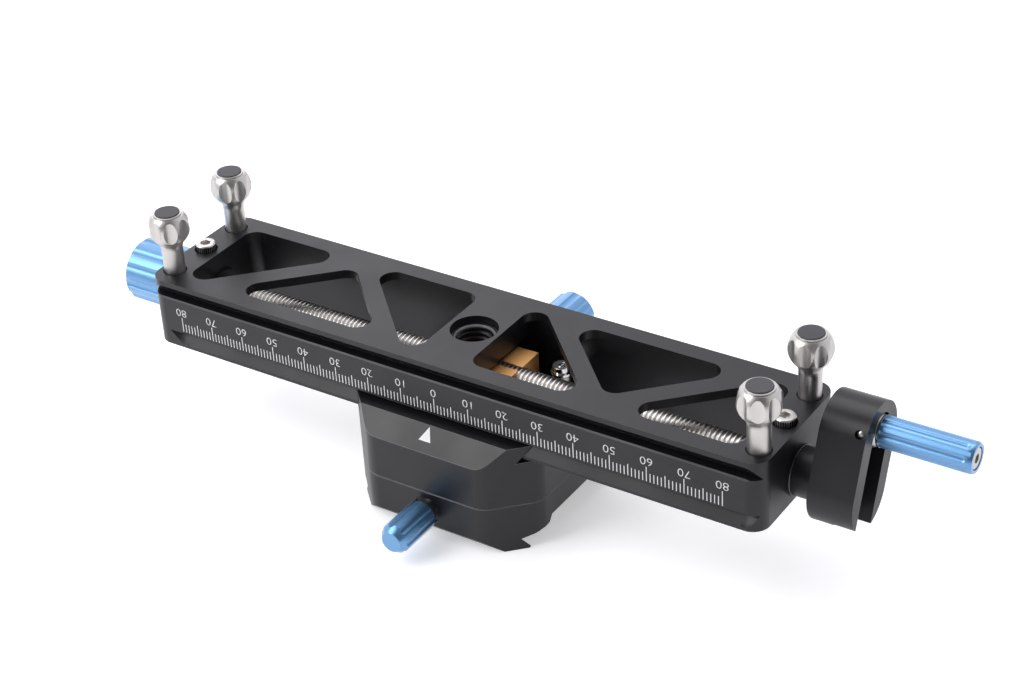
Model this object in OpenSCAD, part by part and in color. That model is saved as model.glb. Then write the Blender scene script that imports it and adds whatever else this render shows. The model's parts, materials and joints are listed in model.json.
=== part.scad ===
// Macro focusing rail: a lattice rail with a lead screw, a travelling clamp and levelling feet.
// Millimetres. X runs along the rail, -Y is the side with the scale, Z is up, deck top at Z = 0.

/* [Rail] */
// Length of the rail body
rail_len = 180; // [160:1:240]
// Width of the rail body over its flanges
rail_w = 38.2; // [37.4:0.1:42]
// Height of the rail body
rail_h = 19; // [18.7:0.1:22]
// Radius of the upright corners at the ends
rail_corner_r = 4.5; // [2:0.1:6]
// Thickness of the deck plate over the channel
deck_t = 2.4; // [1.6:0.1:3]
// Height of the flange's upright edge
flange_t = 1.4; // [1:0.1:2]
// Depth of the upper dovetail groove, whose slope is 45 degrees
upper_depth = 3.1; // [2.4:0.1:3.3]
// Short upright wall at the bottom of the upper groove
upper_land = 0.2; // [0.1:0.05:0.5]
// Height of the face that carries the scale
scale_face_h = 9.9; // [9.2:0.1:10.4]
// Depth of the lower dovetail groove that guides the carriage
lower_depth = 2.45; // [2:0.05:2.8]
// Height of the lower groove's slope
lower_rise = 3.5; // [2.8:0.05:3.6]
// Bevel along the edges of the scale face
face_bevel = 0.35; // [0.1:0.05:0.6]
// Radius of the cutter that leaves the round ends of the grooves
cutter_r = 8; // [6:0.1:10]
// From the rail's right end to the cutter's last place
groove_stop_right = 4.7; // [4.4:0.05:11]
// From the rail's left end to the lower groove's cutter
groove_stop_left = 11.05; // [10:0.05:13]
// Thickness of the blocks that close the channel at each end
end_block = 8.5; // [8:0.1:11]
// Thickness of the walls beside the channel
side_wall = 4.6; // [4.1:0.1:4.9]
// Radius of the channel's upright corners
channel_r = 3; // [1:0.1:5]

/* [Deck lattice] */
// From the end block's inner face to the first pocket, measured outwards as negative
pocket_end_gap = 0.2; // [0:0.05:1]
// From the channel's side to a pocket's edge
pocket_edge = 0.4; // [0.2:0.1:2.5]
// Width of the slanted struts next to the end blocks
outer_strut_w = 5.7; // [4:0.1:7]
// Width of the slanted struts next to the centre block
inner_strut_w = 4.8; // [3.6:0.1:6]
// Run of a slanted strut as a share of one lattice bay
strut_run_share = 0.762; // [0.7:0.002:0.8]
// Corner radius of the pockets
pocket_r = 3.7; // [2:0.1:4.2]
// Length of the solid block at the centre
boss_len = 14.6; // [14:0.1:18]
// Depth of the centre block below the deck top
boss_h = 7; // [6:0.1:7.3]
// Plain radius of the 3/8 inch tripod thread
tripod_r = 4.7625; // [4.5:0.0125:5]
// Radius of the threaded insert and of the relief round its mouth
tripod_relief_r = 6.2; // [5.4:0.1:6.8]
// Depth of that relief
tripod_relief_h = 2; // [0.8:0.1:2.5]

/* [Lead screw] */
// Radius of the lead screw
screw_r = 4; // [3.6:0.05:4.2]
// Height of the screw's axis below the deck top
screw_drop = 12.2; // [12:0.1:12.6]
// Radial running clearance of bushes and turning fits
run_gap = 0.05; // [0.02:0.01:0.09]
// Outer radius of the bushes
bush_r = 5.5; // [5:0.05:5.6]
// Radius of the bushes' inner flange
bush_flange_r = 6.5; // [6:0.05:6.6]
// Thickness of the bushes' flange
bush_flange_t = 1; // [0.6:0.1:1.6]
// Radius of the thrust washers
washer_r = 6.35; // [5.8:0.05:6.6]
// Thickness of the thrust washers
washer_t = 0.5; // [0.3:0.05:0.8]
// Axial play between a washer and what turns on it
end_play = 0.05; // [0.02:0.01:0.1]

/* [Bush screws] */
// From the rail's end to the bush screws and feet
corner_inset = 4; // [3.8:0.05:4.4]
// Radius of the socket head
cap_head_r = 2.7; // [2.4:0.05:2.8]
// Height of the socket head
cap_head_h = 3; // [2.6:0.1:3.2]
// Radius of the thread under the head
cap_stem_r = 1.5; // [1.3:0.05:1.6]
// Play between a screw's thread and its hole
thread_gap = 0.04; // [0.02:0.01:0.08]
// Radius of the recess round the socket head
cap_recess_r = 3.1; // [2.9:0.05:3.4]
// Depth of that recess in the deck
cap_recess_h = 1.1; // [1:0.1:2.4]
// Across corners radius of the hex socket
cap_hex_r = 1.44; // [1.2:0.02:1.6]
// Depth of the hex socket
cap_hex_h = 1.5; // [1:0.1:1.8]
// Bevel round the top of the socket heads
cap_bevel = 0.3; // [0.1:0.05:0.5]

/* [Left knob] */
// Radius of the knob at the left end
left_knob_r = 8.65; // [8:0.05:9.5]
// Length of that knob's grip
left_knob_len = 18.4; // [15:0.1:20]
// Length of the hub between the knob and its thrust washer
left_hub_len = 0.45; // [0.3:0.05:1]
// Radius of that hub
left_hub_r = 6; // [5.6:0.1:7]
// Count of its flutes
left_flutes = 12; // [8:1:14]
// Radius of the flute cutter
left_flute_r = 2.2; // [1.8:0.1:2.6]
// Depth of its flutes
left_flute_h = 0.55; // [0.3:0.05:0.8]
// Bevel at the ends of the knob
knob_bevel = 0.6; // [0.3:0.05:0.9]
// Radius of the hollow in the knob's outer face
left_dish_r = 5.6; // [4:0.1:6.4]
// Depth of that hollow
left_dish_h = 1; // [0.4:0.1:2]
// How far the lead screw reaches into the knob
left_grip = 14; // [10:0.1:15]
// Radius of the grub screws
grub_r = 1.5; // [1.2:0.05:1.6]
// How deep a grub screw's outer end lies under the surface
grub_sink = 0.6; // [0.2:0.1:1]
// Across corners radius of a grub screw's hex socket
grub_hex_r = 0.85; // [0.6:0.05:1]
// Depth of a grub screw's hex socket
grub_hex_h = 1.6; // [1:0.1:2]
// Height of the grub screw's hole in the left knob from its hub
left_grub_at = 4.5; // [3:0.1:7]

/* [Crank] */
// Tilt of the crank about the screw axis
crank_tilt = 20.4; // [0:0.1:45]
// Radius of the crank's hub
crank_hub_r = 6.1; // [5.8:0.05:6.6]
// Length of the crank's hub
crank_hub_len = 5.8; // [5:0.1:7]
// Thickness of the crank arm
crank_t = 11.5; // [11:0.1:13]
// Half width of the crank arm, the radius of its round ends
crank_r = 9; // [8.6:0.05:10]
// Centre of the lower round end below the screw axis
crank_low = 0.9; // [0.5:0.05:1.5]
// Centre of the upper round end above the screw axis
crank_high = 12.9; // [12:0.1:13.5]
// Width of the slot in the arm
slot_w = 8.8; // [8.5:0.05:9.4]
// Wall between the slot's floor and the arm's inner face
slot_floor = 5.15; // [4.9:0.05:5.4]
// Blind end wall of the screw's bore under the slot
bore_end_wall = 1; // [0.6:0.1:1.2]
// From the screw axis to the handle's cross pin
pin_high = 14.7; // [14.4:0.05:15.4]
// Depth of the cross pin under the arm's outer face
pin_depth = 1.85; // [1.7:0.05:2.1]
// Radius of the cross pin
pin_r = 1.1; // [0.9:0.05:1.2]
// How far the pin's ends lie inside the arm's sides
pin_sink = 0.25; // [0.1:0.05:0.6]
// Height of the crank's grub screw from the arm's inner face
crank_grub_at = 2.55; // [2.2:0.05:2.8]

/* [Handle] */
// Radius of the ball knuckle
knuckle_r = 4.3; // [4.2:0.05:4.35]
// Half thickness of the knuckle between its flats
knuckle_half = 3.9; // [3.6:0.05:3.95]
// Gap between the arm's outer face and the handle's ring
ring_gap = 0.1; // [0.05:0.05:0.3]
// Radius of the ring at the handle's foot
ring_r = 3.9; // [3.7:0.05:4.1]
// Thickness of that ring
ring_t = 0.5; // [0.3:0.05:0.8]
// Radius of the handle's sleeve
sleeve_r = 3.85; // [3.6:0.05:4]
// Length of the handle's sleeve
sleeve_len = 22.5; // [20:0.1:23.4]
// Count of the sleeve's flutes
sleeve_flutes = 8; // [6:1:9]
// Radius of the sleeve's flute cutter
sleeve_flute_r = 1.6; // [1.3:0.05:1.9]
// Depth of the sleeve's flutes
sleeve_flute_h = 0.4; // [0.3:0.05:0.6]
// Length of the plain collar at the sleeve's outer end
sleeve_collar = 0.6; // [0.4:0.1:3]
// Radius of the rod inside the sleeve
rod_r = 2; // [1.8:0.05:2.1]
// Depth of the hollow that takes the sleeve's screw
sleeve_recess = 2.7; // [2.7:0.1:3.2]
// Radius of the screw head in the sleeve's end
end_head_r = 2.75; // [2.25:0.05:2.8]
// Height of that screw head
end_head_h = 2.6; // [1.8:0.1:2.6]
// Radius of that screw's thread
end_stem_r = 1.2; // [1:0.05:1.3]
// Length of that screw's thread
end_stem_len = 8; // [6:0.1:12]
// Across corners radius of its hex socket
end_hex_r = 1.3; // [1:0.05:1.5]

/* [Feet] */
// From the rail's side to the axis of a foot
foot_edge = 6.3; // [6.2:0.05:6.6]
// Radius of the foot screws' stems
foot_r = 2.85; // [2.6:0.05:2.85]
// Radius of the wider mouth round a stem
foot_mouth_r = 3.15; // [3.05:0.05:3.4]
// Depth of that mouth
foot_mouth_h = 1; // [0.4:0.1:1.2]
// How far a stem reaches into the rail
foot_depth = 12; // [10:0.1:12.8]
// Height of the foot ball's centre over the deck
ball_z = 13.05; // [11:0.05:15]
// Radius of the foot ball
ball_r = 5.5; // [5.2:0.05:5.8]
// Height of the ball below its centre
ball_low = 3.95; // [3.5:0.05:4.2]
// Height of the ball above its centre
ball_top = 3.65; // [3.4:0.05:3.9]
// Radius of the concave neck under the ball
foot_fillet = 3.2; // [2.8:0.05:3.4]
// Count of flutes round the ball
ball_hollows = 8; // [6:1:8]
// Radius of the cutter for those flutes
hollow_r = 2.75; // [2.4:0.05:2.75]
// Depth of the flutes
hollow_h = 0.9; // [0.6:0.05:1]
// Radius of the rim round the rubber pad
rim_r = 3.7; // [3.5:0.05:3.9]
// Height of that rim
rim_h = 0.4; // [0.2:0.05:0.6]
// Radius of the rubber pad
pad_r = 3.22; // [3:0.02:3.3]
// Thickness of the rubber pad
pad_t = 1.5; // [1.2:0.05:2]
// How far the pad stands out of its rim
pad_proud = 0.3; // [0.2:0.05:0.6]

/* [Carriage] */
// Place of the carriage's centre along the rail at rest
carriage_x = 1.2; // [-20:0.1:20]
// Length of the carriage
car_len = 54.8; // [50:0.1:60]
// How far the carriage stands out beside the rail
car_side = 8.1; // [7.9:0.1:9.9]
// Leg of the carriage's cut corners
car_corner = 10.7; // [8:0.1:11.2]
// Radius that softens the cut corners
car_corner_r = 6; // [3:0.1:8]
// Gap between the lower groove's ceiling and the guide hooks' top
hook_drop = 1; // [0.8:0.05:1.2]
// Height of the guide hooks' blunt nose
hook_nose = 0.35; // [0.2:0.05:0.5]
// Sideways running gap along the guide slopes
slide_gap = 0.12; // [0.08:0.01:0.12]
// Leg of the slope along the carriage's long top edges
car_slope = 5; // [4:0.1:5]
// Gap between the rail's underside and the carriage floor
floor_gap = 1.1; // [0.8:0.05:1.4]
// Thickness of the carriage under the rail
car_floor_t = 12.1; // [11.6:0.1:14]
// Gap between the rail's underside and the glide strips
glide_gap = 0.05; // [0.03:0.01:0.1]
// Width of the glide strips
glide_w = 2.4; // [1.8:0.1:2.6]
// Length of the glide strips
glide_len = 50; // [40:1:50]
// From the channel's edge to a glide strip
glide_inset = 0.5; // [0.2:0.1:0.8]
// From the rail's side to the seat of the bolted guide bar
bar_seat_gap = 2.3; // [1.9:0.1:2.9]
// Spacing of the guide bar's screws
bar_screw_gap = 24; // [22:0.5:26]
// Height of the guide bar's screws above the seam
bar_screw_z = 5.7; // [5:0.1:6]
// Length of the guide bar's screws under the head
bar_screw_len = 12; // [8:0.1:16]

/* [Nut] */
// Length of the drive nut
nut_len = 24; // [22.8:0.1:27]
// Width of the drive nut
nut_w = 17; // [16.6:0.1:18]
// Wall of the nut over the screw
nut_wall = 0.35; // [0.2:0.05:0.4]
// Width of the slit along the nut
nut_slit = 2; // [1.4:0.1:2.4]
// Width of the cross slits
nut_cross = 1; // [0.6:0.1:1.4]
// Spacing of the cross slits
nut_cross_gap = 9.8; // [9:0.1:14]
// Thickness of the nut bracket
bracket_t = 2.5; // [2:0.1:2.8]
// Length of the nut bracket
bracket_len = 41; // [40.4:0.1:44]
// From the channel's side to the nut bracket
bracket_edge = 0.8; // [0.6:0.1:1]
// Spacing of the bracket's screws along the rail
bracket_gap_x = 34.2; // [33.6:0.1:35]
// From the bracket's side to its screws
bracket_screw_edge = 3; // [2.8:0.1:3.3]
// Radius of the spacers on the bracket
spacer_r = 2.4; // [2.2:0.05:2.6]
// Height of the spacers
spacer_h = 4.4; // [3:0.1:5]
// Radius of the washers on the spacers
flat_washer_r = 2.8; // [2.6:0.05:2.9]
// Thickness of those washers
flat_washer_t = 0.5; // [0.3:0.05:0.6]
// Radius of the pan heads
pan_r = 2.2; // [2:0.05:2.4]
// Height of the pan heads
pan_h = 1.6; // [1.2:0.1:2]
// Radius of the pan screws' thread
pan_stem_r = 1.25; // [1.1:0.05:1.3]
// How deep the pan screws reach into the carriage
pan_grip = 5; // [3:0.1:8]
// Width of the cross recess in a pan head
cross_w = 0.6; // [0.4:0.05:0.8]
// Length of the cross recess
cross_len = 2.4; // [1.6:0.1:2.8]
// Depth of the cross recess
cross_h = 0.8; // [0.4:0.05:1]
// Spacing of the nut's own screws along the rail
nut_bolt_gap_x = 18.8; // [18:0.1:19.4]
// Spacing of the nut's own screws across the rail
nut_bolt_gap_y = 12.6; // [12.4:0.1:13]
// Height of the flat heads under the bracket
nut_bolt_head_h = 1.4; // [1:0.1:1.6]
// How deep the nut's own screws reach into it
nut_bolt_grip = 5; // [3:0.1:6]

/* [Clamp] */
// Height of the clamp block
clamp_h = 13.6; // [13.4:0.1:15]
// Leg of the bevel under the clamp's long sides
clamp_bevel = 3.7; // [3:0.1:3.8]
// Half width between the jaws' lips at rest
lip_half = 18.8; // [18.4:0.1:19.2]
// Height of the lips' blunt tip
lip_tip = 0.6; // [0.3:0.05:0.8]
// Half width between the jaws' groove corners at rest
jaw_half = 20.4; // [20:0.1:20.8]
// Height of the groove corners over the clamp's underside
jaw_corner_z = 3.1; // [2.8:0.1:3.4]
// Half width where the jaws' ceiling bends
ceiling_half = 16.3; // [15.6:0.1:16.8]
// Height of that bend over the clamp's underside
ceiling_z = 4.7; // [4.4:0.1:4.9]
// Half width of the recess between the jaws' seats
recess_half = 12.1; // [11.6:0.1:12.6]
// How far the seats step in towards the recess
recess_step = 1.1; // [0.8:0.1:1.4]
// Height of the step over the clamp's underside
recess_step_z = 5.2; // [5:0.05:5.4]
// Height of the recess ceiling over the clamp's underside
recess_z = 6.9; // [6.6:0.05:7.1]
// How far the movable jaw closes
jaw_travel = 2.8; // [2:0.1:3]
// Clearance left behind the closed jaw
jaw_gap = 0.3; // [0.2:0.05:0.5]
// Thickness of the plate over the movable jaw
jaw_plate = 1.8; // [1.5:0.1:2]
// Height of the clamp screw's axis over the clamp's underside
clamp_axis_z = 7.9; // [7.8:0.05:8.1]
// Radius of the clamp screw's thread
clamp_screw_r = 1.9; // [1.7:0.05:2]
// Radius of the clamp screw's neck
neck_r = 2.5; // [2.3:0.05:2.6]
// Length of the neck inside the clamp
neck_in = 8; // [7:0.1:9]
// Gap between the clamp's front face and its knob
clamp_knob_gap = 1.5; // [1.2:0.1:4]
// Radius of the clamp knob
clamp_knob_r = 4.05; // [3.8:0.05:4.6]
// Length of the clamp knob
clamp_knob_len = 13.8; // [10:0.1:16]
// Length of its coned end
clamp_cone = 1.8; // [1:0.1:2.4]
// Radius of the flat end disc
clamp_disc_r = 2.7; // [2.2:0.1:3]
// Count of the clamp knob's flutes
clamp_flutes = 7; // [6:1:8]
// Radius of the clamp knob's flute cutter
clamp_flute_r = 1.4; // [1.2:0.05:1.6]
// Depth of the clamp knob's flutes
clamp_flute_h = 0.45; // [0.3:0.05:0.6]
// Outer radius of the bush in the clamp's front
clamp_bush_r = 3.3; // [3.1:0.05:3.5]
// Length of that bush
clamp_bush_len = 5.5; // [4:0.1:6]
// Radius of the shallow recess round the bush
clamp_ring_r = 3.8; // [3.6:0.05:4.2]
// Depth of that recess
clamp_ring_h = 0.7; // [0.3:0.1:1]
// Radius of the jaw's guide pins
guide_r = 1.5; // [1.3:0.05:1.6]
// From the carriage's end to a guide pin
guide_inset = 8.4; // [7.4:0.1:10.4]
// Height of the guide pins over the clamp's underside
guide_z = 9.2; // [9:0.05:9.4]
// Length of the guide pins inside the fixed block
guide_grip = 14; // [10:0.5:16]
// How far pins and screw reach into the movable jaw
jaw_reach = 11; // [9:0.1:12]
// Radius of the joining screws' heads
join_head_r = 3.5; // [3.2:0.05:3.6]
// Height of the joining screws' heads
join_head_h = 4; // [3.4:0.1:4.1]
// Play round the joining screws' heads
join_head_gap = 0.2; // [0.1:0.05:0.3]
// Radius of the joining screws' thread
join_stem_r = 2; // [1.8:0.05:2.2]
// How deep the joining screws reach into the carriage
join_grip = 7; // [5:0.1:9]
// Spacing of the joining screws along the rail
join_gap_x = 22; // [20:0.5:24]
// Spacing of the joining screws across the rail
join_gap_y = 11; // [9:0.1:12]
// Middle of the joining screws across the rail
join_mid_y = -1.5; // [-3:0.1:0]

/* [Lock] */
// Radius of the lock knob
lock_knob_r = 6.2; // [5.4:0.05:6.6]
// Length of the lock knob
lock_knob_len = 16.9; // [12:0.1:18]
// Gap between the carriage's back face and the lock knob
lock_knob_gap = 2.3; // [1.6:0.1:4]
// Height of the lock's axis over the rail's underside
lock_z = 0.2; // [0.1:0.05:0.4]
// Count of the lock knob's flutes
lock_flutes = 9; // [7:1:10]
// Radius of the lock knob's flute cutter
lock_flute_r = 1.9; // [1.6:0.1:2.2]
// Depth of the lock knob's flutes
lock_flute_h = 0.5; // [0.3:0.05:0.7]
// Length of the lock knob's coned end
lock_cone = 1.6; // [1:0.1:2.4]
// Radius of the lock knob's end disc
lock_disc_r = 4.6; // [4:0.1:5]
// Radius of the lock spindle
spindle_r = 2; // [1.8:0.05:2.1]
// How far the lock spindle reaches into its knob
spindle_grip = 7; // [5:0.1:10]
// Radius of the lock shoe
shoe_r = 2.25; // [2.15:0.05:2.3]
// Thickness of the lock shoe
shoe_t = 1.7; // [1.4:0.05:1.75]
// Gap between the open shoe and the rail's edge
shoe_gap = 0.6; // [0.5:0.05:0.65]

/* [Look] */
// Which piece to draw
node = "all";

/* [Hidden] */
$fn = 72;
cut = 0.5;
corner_bite = 0.01;
cutter_bite = 0.05;
corners = [[-1, -1], [1, -1], [-1, 1], [1, 1]];
sides = [-1, 1];
foot_turns = [0, 22.5, 22.5, 8];
black_c = [0.17, 0.17, 0.18];
blue_c = [0.33, 0.6, 0.85];
steel_c = [0.75, 0.75, 0.76];
brass_c = [0.78, 0.6, 0.32];
rubber_c = [0.12, 0.12, 0.12];
glide_c = [0.85, 0.84, 0.8];

rail_half = rail_w / 2;
channel_w = rail_w - 2 * side_wall;
pocket_reach = channel_w / 2 - pocket_edge;
foot_y = rail_half - foot_edge;
car_w = rail_w + 2 * car_side;
bar_seat = rail_half + bar_seat_gap;
bracket_w = channel_w - 2 * bracket_edge;
bracket_gap_y = bracket_w - 2 * bracket_screw_edge;
guide_gap = car_len - 2 * guide_inset;
rail_end = rail_len / 2;
upper_floor_z = -(flange_t + upper_depth + upper_land);
lower_z = upper_floor_z - scale_face_h;
channel_len = rail_len - 2 * end_block;
pocket_end = channel_len / 2 - pocket_end_gap;
bay = (pocket_end - boss_len / 2) / 2;
apex_x = boss_len / 2 + bay;
strut_slope = 2 * pocket_reach / (bay * strut_run_share);
outer_shift = outer_strut_w / 2 * sqrt(1 + strut_slope * strut_slope);
inner_shift = inner_strut_w / 2 * sqrt(1 + strut_slope * strut_slope);
foot_hole_r = foot_r + run_gap;
bush_len = end_block;
left_face = rail_end + washer_t + end_play;
crank_face = left_face + crank_hub_len;
crank_out = crank_face + crank_t;
slot_x = crank_face + slot_floor;
pin_x = crank_out - pin_depth;
ring_x = crank_out + ring_gap;
sleeve_x = ring_x + ring_t;
sleeve_end = sleeve_x + sleeve_len;
rod_end = sleeve_end - sleeve_recess;
rim_z = ball_z + ball_top;
pad_z = rim_z + rim_h + pad_proud - pad_t;

hook_top = lower_z - hook_drop;
floor_z = -rail_h - floor_gap;
seam_z = floor_z - car_floor_t;
base_z = seam_z - clamp_h;
slope_run = lower_depth / lower_rise;
hook_half = rail_half - lower_depth + (hook_drop + hook_nose) * slope_run + slide_gap;
relief_half = hook_half + (hook_top - hook_nose - floor_z) * slope_run;
car_half = car_w / 2;
nut_top = -screw_drop + screw_r + run_gap + nut_wall;
bracket_top = floor_z + bracket_t;
nut_h = nut_top - bracket_top;
spacer_top = bracket_top + spacer_h;
pan_z = spacer_top + flat_washer_t;
jaw_top = seam_z - jaw_plate;
fixed_end = recess_half - jaw_travel - jaw_gap;
jaw_lift = jaw_gap;
pin_end = recess_half + jaw_reach;
bush_in = -car_half + clamp_ring_h;
lock_axis = -rail_h + lock_z;
shoe_in = rail_half + shoe_gap;
shoe_out = shoe_in + shoe_t;
lock_face = car_half + lock_knob_gap;

NODES = ["rail_body", "tripod_insert", "screw_bushes", "thrust_washers", "bush_screws",
    "lead_screw", "left_knob", "left_grub", "crank_arm", "crank_grub", "handle_pin",
    "handle_knuckle", "handle_ring", "handle_screw", "handle_sleeve",
    "foot_screw_1", "foot_screw_2", "foot_screw_3", "foot_screw_4",
    "foot_pad_1", "foot_pad_2", "foot_pad_3", "foot_pad_4",
    "carriage_body", "guide_bar", "guide_bar_screws", "glide_strips",
    "nut_bracket", "drive_nut", "nut_bolts", "bracket_spacers", "bracket_washers",
    "bracket_screws", "clamp_body", "joining_screws", "clamp_bush", "clamp_screw",
    "clamp_knob", "clamp_jaw", "jaw_guide_pins", "lock_shoe", "lock_spindle", "lock_knob"];

// Helpers

function unit(v) = v / norm(v);
function half_turn(a, b, c) = acos(unit(a - b) * unit(c - b)) / 2;

// A convex outline with every corner rounded to radius r.
// The bite lets a corner's circle cut across slanted walls, which otherwise only touch it.
module rounded(points, r, bite = 0) {
    n = len(points);
    before = [for (i = [0:n - 1]) points[(i + n - 1) % n]];
    after = [for (i = [0:n - 1]) points[(i + 1) % n]];
    polygon([for (i = [0:n - 1])
        let (back = r / tan(half_turn(before[i], points[i], after[i])))
        each [points[i] + unit(before[i] - points[i]) * back,
              points[i] + unit(after[i] - points[i]) * back]]);
    for (i = [0:n - 1]) {
        a = unit(before[i] - points[i]);
        c = unit(after[i] - points[i]);
        away = r / sin(half_turn(before[i], points[i], after[i]));
        translate(points[i] + unit(a + c) * away) circle(r + bite);
    }
}

function rectangle(x, y) = [[-x / 2, -y / 2], [x / 2, -y / 2], [x / 2, y / 2], [-x / 2, y / 2]];

// Extrudes a (Y, Z) outline along X.
module along_x(x, length) {
    translate([x, 0, 0]) rotate([90, 0, 90]) linear_extrude(length) children();
}

// Cylinders along X, Y and Z that start at a point.
module rod_x(p, length, r) {
    translate(p) rotate([0, 90, 0]) cylinder(h = length, r = r);
}

module rod_y(p, length, r) {
    translate(p) rotate([-90, 0, 0]) cylinder(h = length, r = r);
}

module rod_z(p, length, r) {
    translate(p) cylinder(h = length, r = r);
}

// A turned grip from z = 0 to its length, with flutes all round and a coned far end.
module grip(r, length, bevel, cone, disc_r, flutes, flute_r, flute_h) {
    difference() {
        rotate_extrude() polygon([[0, 0], [r - bevel, 0], [r, bevel], [r, length - cone],
            [disc_r, length], [0, length]]);
        for (i = [0:flutes - 1]) rotate([0, 0, i * 360 / flutes])
            translate([r + flute_r - flute_h, 0, -cut])
                cylinder(h = length + 2 * cut, r = flute_r);
    }
}

// A socket head screw along Z: head above z = 0, thread below.
module cap_screw(head_r, head_h, stem_r, stem_len, hex_r, hex_h) {
    difference() {
        union() {
            rotate_extrude() polygon([[0, 0], [head_r, 0], [head_r, head_h - cap_bevel],
                [head_r - cap_bevel, head_h], [0, head_h]]);
            translate([0, 0, -stem_len]) cylinder(h = stem_len + head_h / 2, r = stem_r);
        }
        translate([0, 0, head_h - hex_h]) cylinder(h = hex_h + cut, r = hex_r, $fn = 6);
    }
}

// A grub screw along Z from z = 0 inwards to its point.
module grub(length) {
    difference() {
        translate([0, 0, -length]) cylinder(h = length, r = grub_r - thread_gap);
        translate([0, 0, -grub_hex_h]) cylinder(h = grub_hex_h + cut, r = grub_hex_r, $fn = 6);
    }
}

// Rail

// Groove outlines: depth from the groove's bottom, then height.
function upper_groove(reach) = [
    [0, upper_floor_z + upper_land],
    [0, upper_floor_z],
    [upper_depth - face_bevel, upper_floor_z],
    [reach, upper_floor_z - (reach - upper_depth + face_bevel)],
    [reach, -flange_t + reach - upper_depth]];

function lower_groove(reach) = [
    [0, lower_z],
    [reach, lower_z - reach / slope_run],
    [reach, lower_z + reach - lower_depth + face_bevel],
    [lower_depth - face_bevel, lower_z]];

// A straight groove on the +Y side with a round cutter's run-out at both ends.
module groove(strip, wheel, depth, x0, x1) {
    bottom = rail_half - depth;
    along_x(x0, x1 - x0) translate([bottom, 0]) polygon(strip);
    for (x = [x0, x1]) translate([x, bottom + cutter_r - cutter_bite, 0])
        rotate_extrude() polygon([for (p = wheel) [cutter_r - p[0], p[1]]]);
}

module both_grooves() {
    stop = rail_end - groove_stop_right;
    for (side = sides) scale_side(side) {
        groove(upper_groove(upper_depth + cut), upper_groove(cutter_r), upper_depth,
            -rail_end - cutter_r - cut, stop);
        groove(lower_groove(lower_depth + cut), lower_groove(cutter_r), lower_depth,
            -rail_end + groove_stop_left, stop);
    }
}

// Puts what is drawn on the +Y side on either side.
module scale_side(side) {
    if (side > 0) children();
    else mirror([0, 1, 0]) children();
}

// The three pockets of one half of the deck, on the -X side. Two struts meet at (peak, top).
module half_lattice() {
    end = -pocket_end;
    mid = -boss_len / 2;
    peak = -apex_x;
    top = pocket_reach;
    rounded([[end, top], [end, top + strut_slope * (end - peak) + outer_shift],
        [peak - outer_shift / strut_slope, top]], pocket_r, corner_bite);
    rounded([[peak - (2 * top - outer_shift) / strut_slope, -top],
        [peak + (2 * top - inner_shift) / strut_slope, -top],
        [peak + (outer_shift - inner_shift) / strut_slope / 2,
            top - (outer_shift + inner_shift) / 2]], pocket_r, corner_bite);
    rounded([[mid, top], [peak + inner_shift / strut_slope, top],
        [mid, top - strut_slope * (mid - peak) + inner_shift]], pocket_r, corner_bite);
}

module rail_body() {
    color(black_c) difference() {
        translate([0, 0, -rail_h]) linear_extrude(rail_h)
            rounded(rectangle(rail_len, rail_w), rail_corner_r);
        both_grooves();
        difference() {
            translate([0, 0, -rail_h - cut]) linear_extrude(rail_h + cut - deck_t)
                rounded(rectangle(channel_len, channel_w), channel_r);
            translate([-boss_len / 2, -rail_half, -boss_h]) cube([boss_len, rail_w, boss_h]);
        }
        for (turn = [0, 180]) rotate([0, 0, turn])
            translate([0, 0, -deck_t - cut]) linear_extrude(deck_t + 2 * cut) half_lattice();
        rod_z([0, 0, -boss_h - cut], boss_h + 2 * cut, tripod_relief_r);
        rod_x([-rail_end - cut, 0, -screw_drop], rail_len + 2 * cut, bush_r);
        for (side = sides) {
            rod_z([side * (rail_end - corner_inset), 0, -screw_drop], screw_drop,
                cap_stem_r + thread_gap);
            rod_z([side * (rail_end - corner_inset), 0, -cap_recess_h], cap_recess_h + cut,
                cap_recess_r);
        }
        for (c = corners) {
            at = [c[0] * (rail_end - corner_inset), c[1] * foot_y, 0];
            rod_z(at - [0, 0, rail_h + cut], rail_h + 2 * cut, foot_hole_r);
            rod_z(at - [0, 0, foot_mouth_h], foot_mouth_h + cut, foot_mouth_r);
        }
    }
}

module tripod_insert() {
    color(black_c) difference() {
        rod_z([0, 0, -boss_h], boss_h - tripod_relief_h, tripod_relief_r);
        rod_z([0, 0, -boss_h - cut], boss_h + 2 * cut, tripod_r);
    }
}

module screw_bushes() {
    color(steel_c) for (side = sides) rotate([0, 0, side > 0 ? 0 : 180]) difference() {
        union() {
            rod_x([rail_end - bush_len, 0, -screw_drop], bush_len, bush_r);
            rod_x([rail_end - bush_len - bush_flange_t, 0, -screw_drop], bush_flange_t,
                bush_flange_r);
        }
        rod_x([rail_end - bush_len - bush_flange_t - cut, 0, -screw_drop],
            bush_len + bush_flange_t + 2 * cut, screw_r + run_gap);
    }
}

module thrust_washers() {
    color(steel_c) for (side = sides) rotate([0, 0, side > 0 ? 0 : 180]) difference() {
        rod_x([rail_end, 0, -screw_drop], washer_t, washer_r);
        rod_x([rail_end - cut, 0, -screw_drop], washer_t + 2 * cut, screw_r + run_gap);
    }
}

module bush_screws() {
    reach = screw_drop - bush_r - cap_recess_h;
    color(steel_c) for (side = sides)
        translate([side * (rail_end - corner_inset), 0, -cap_recess_h])
            cap_screw(cap_head_r, cap_head_h, cap_stem_r, reach, cap_hex_r, cap_hex_h);
}

// Lead screw and left knob

module lead_screw() {
    left = left_face + left_grip;
    right = slot_x - bore_end_wall;
    color(steel_c) rod_x([-left, 0, -screw_drop], left + right, screw_r);
}

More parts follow.
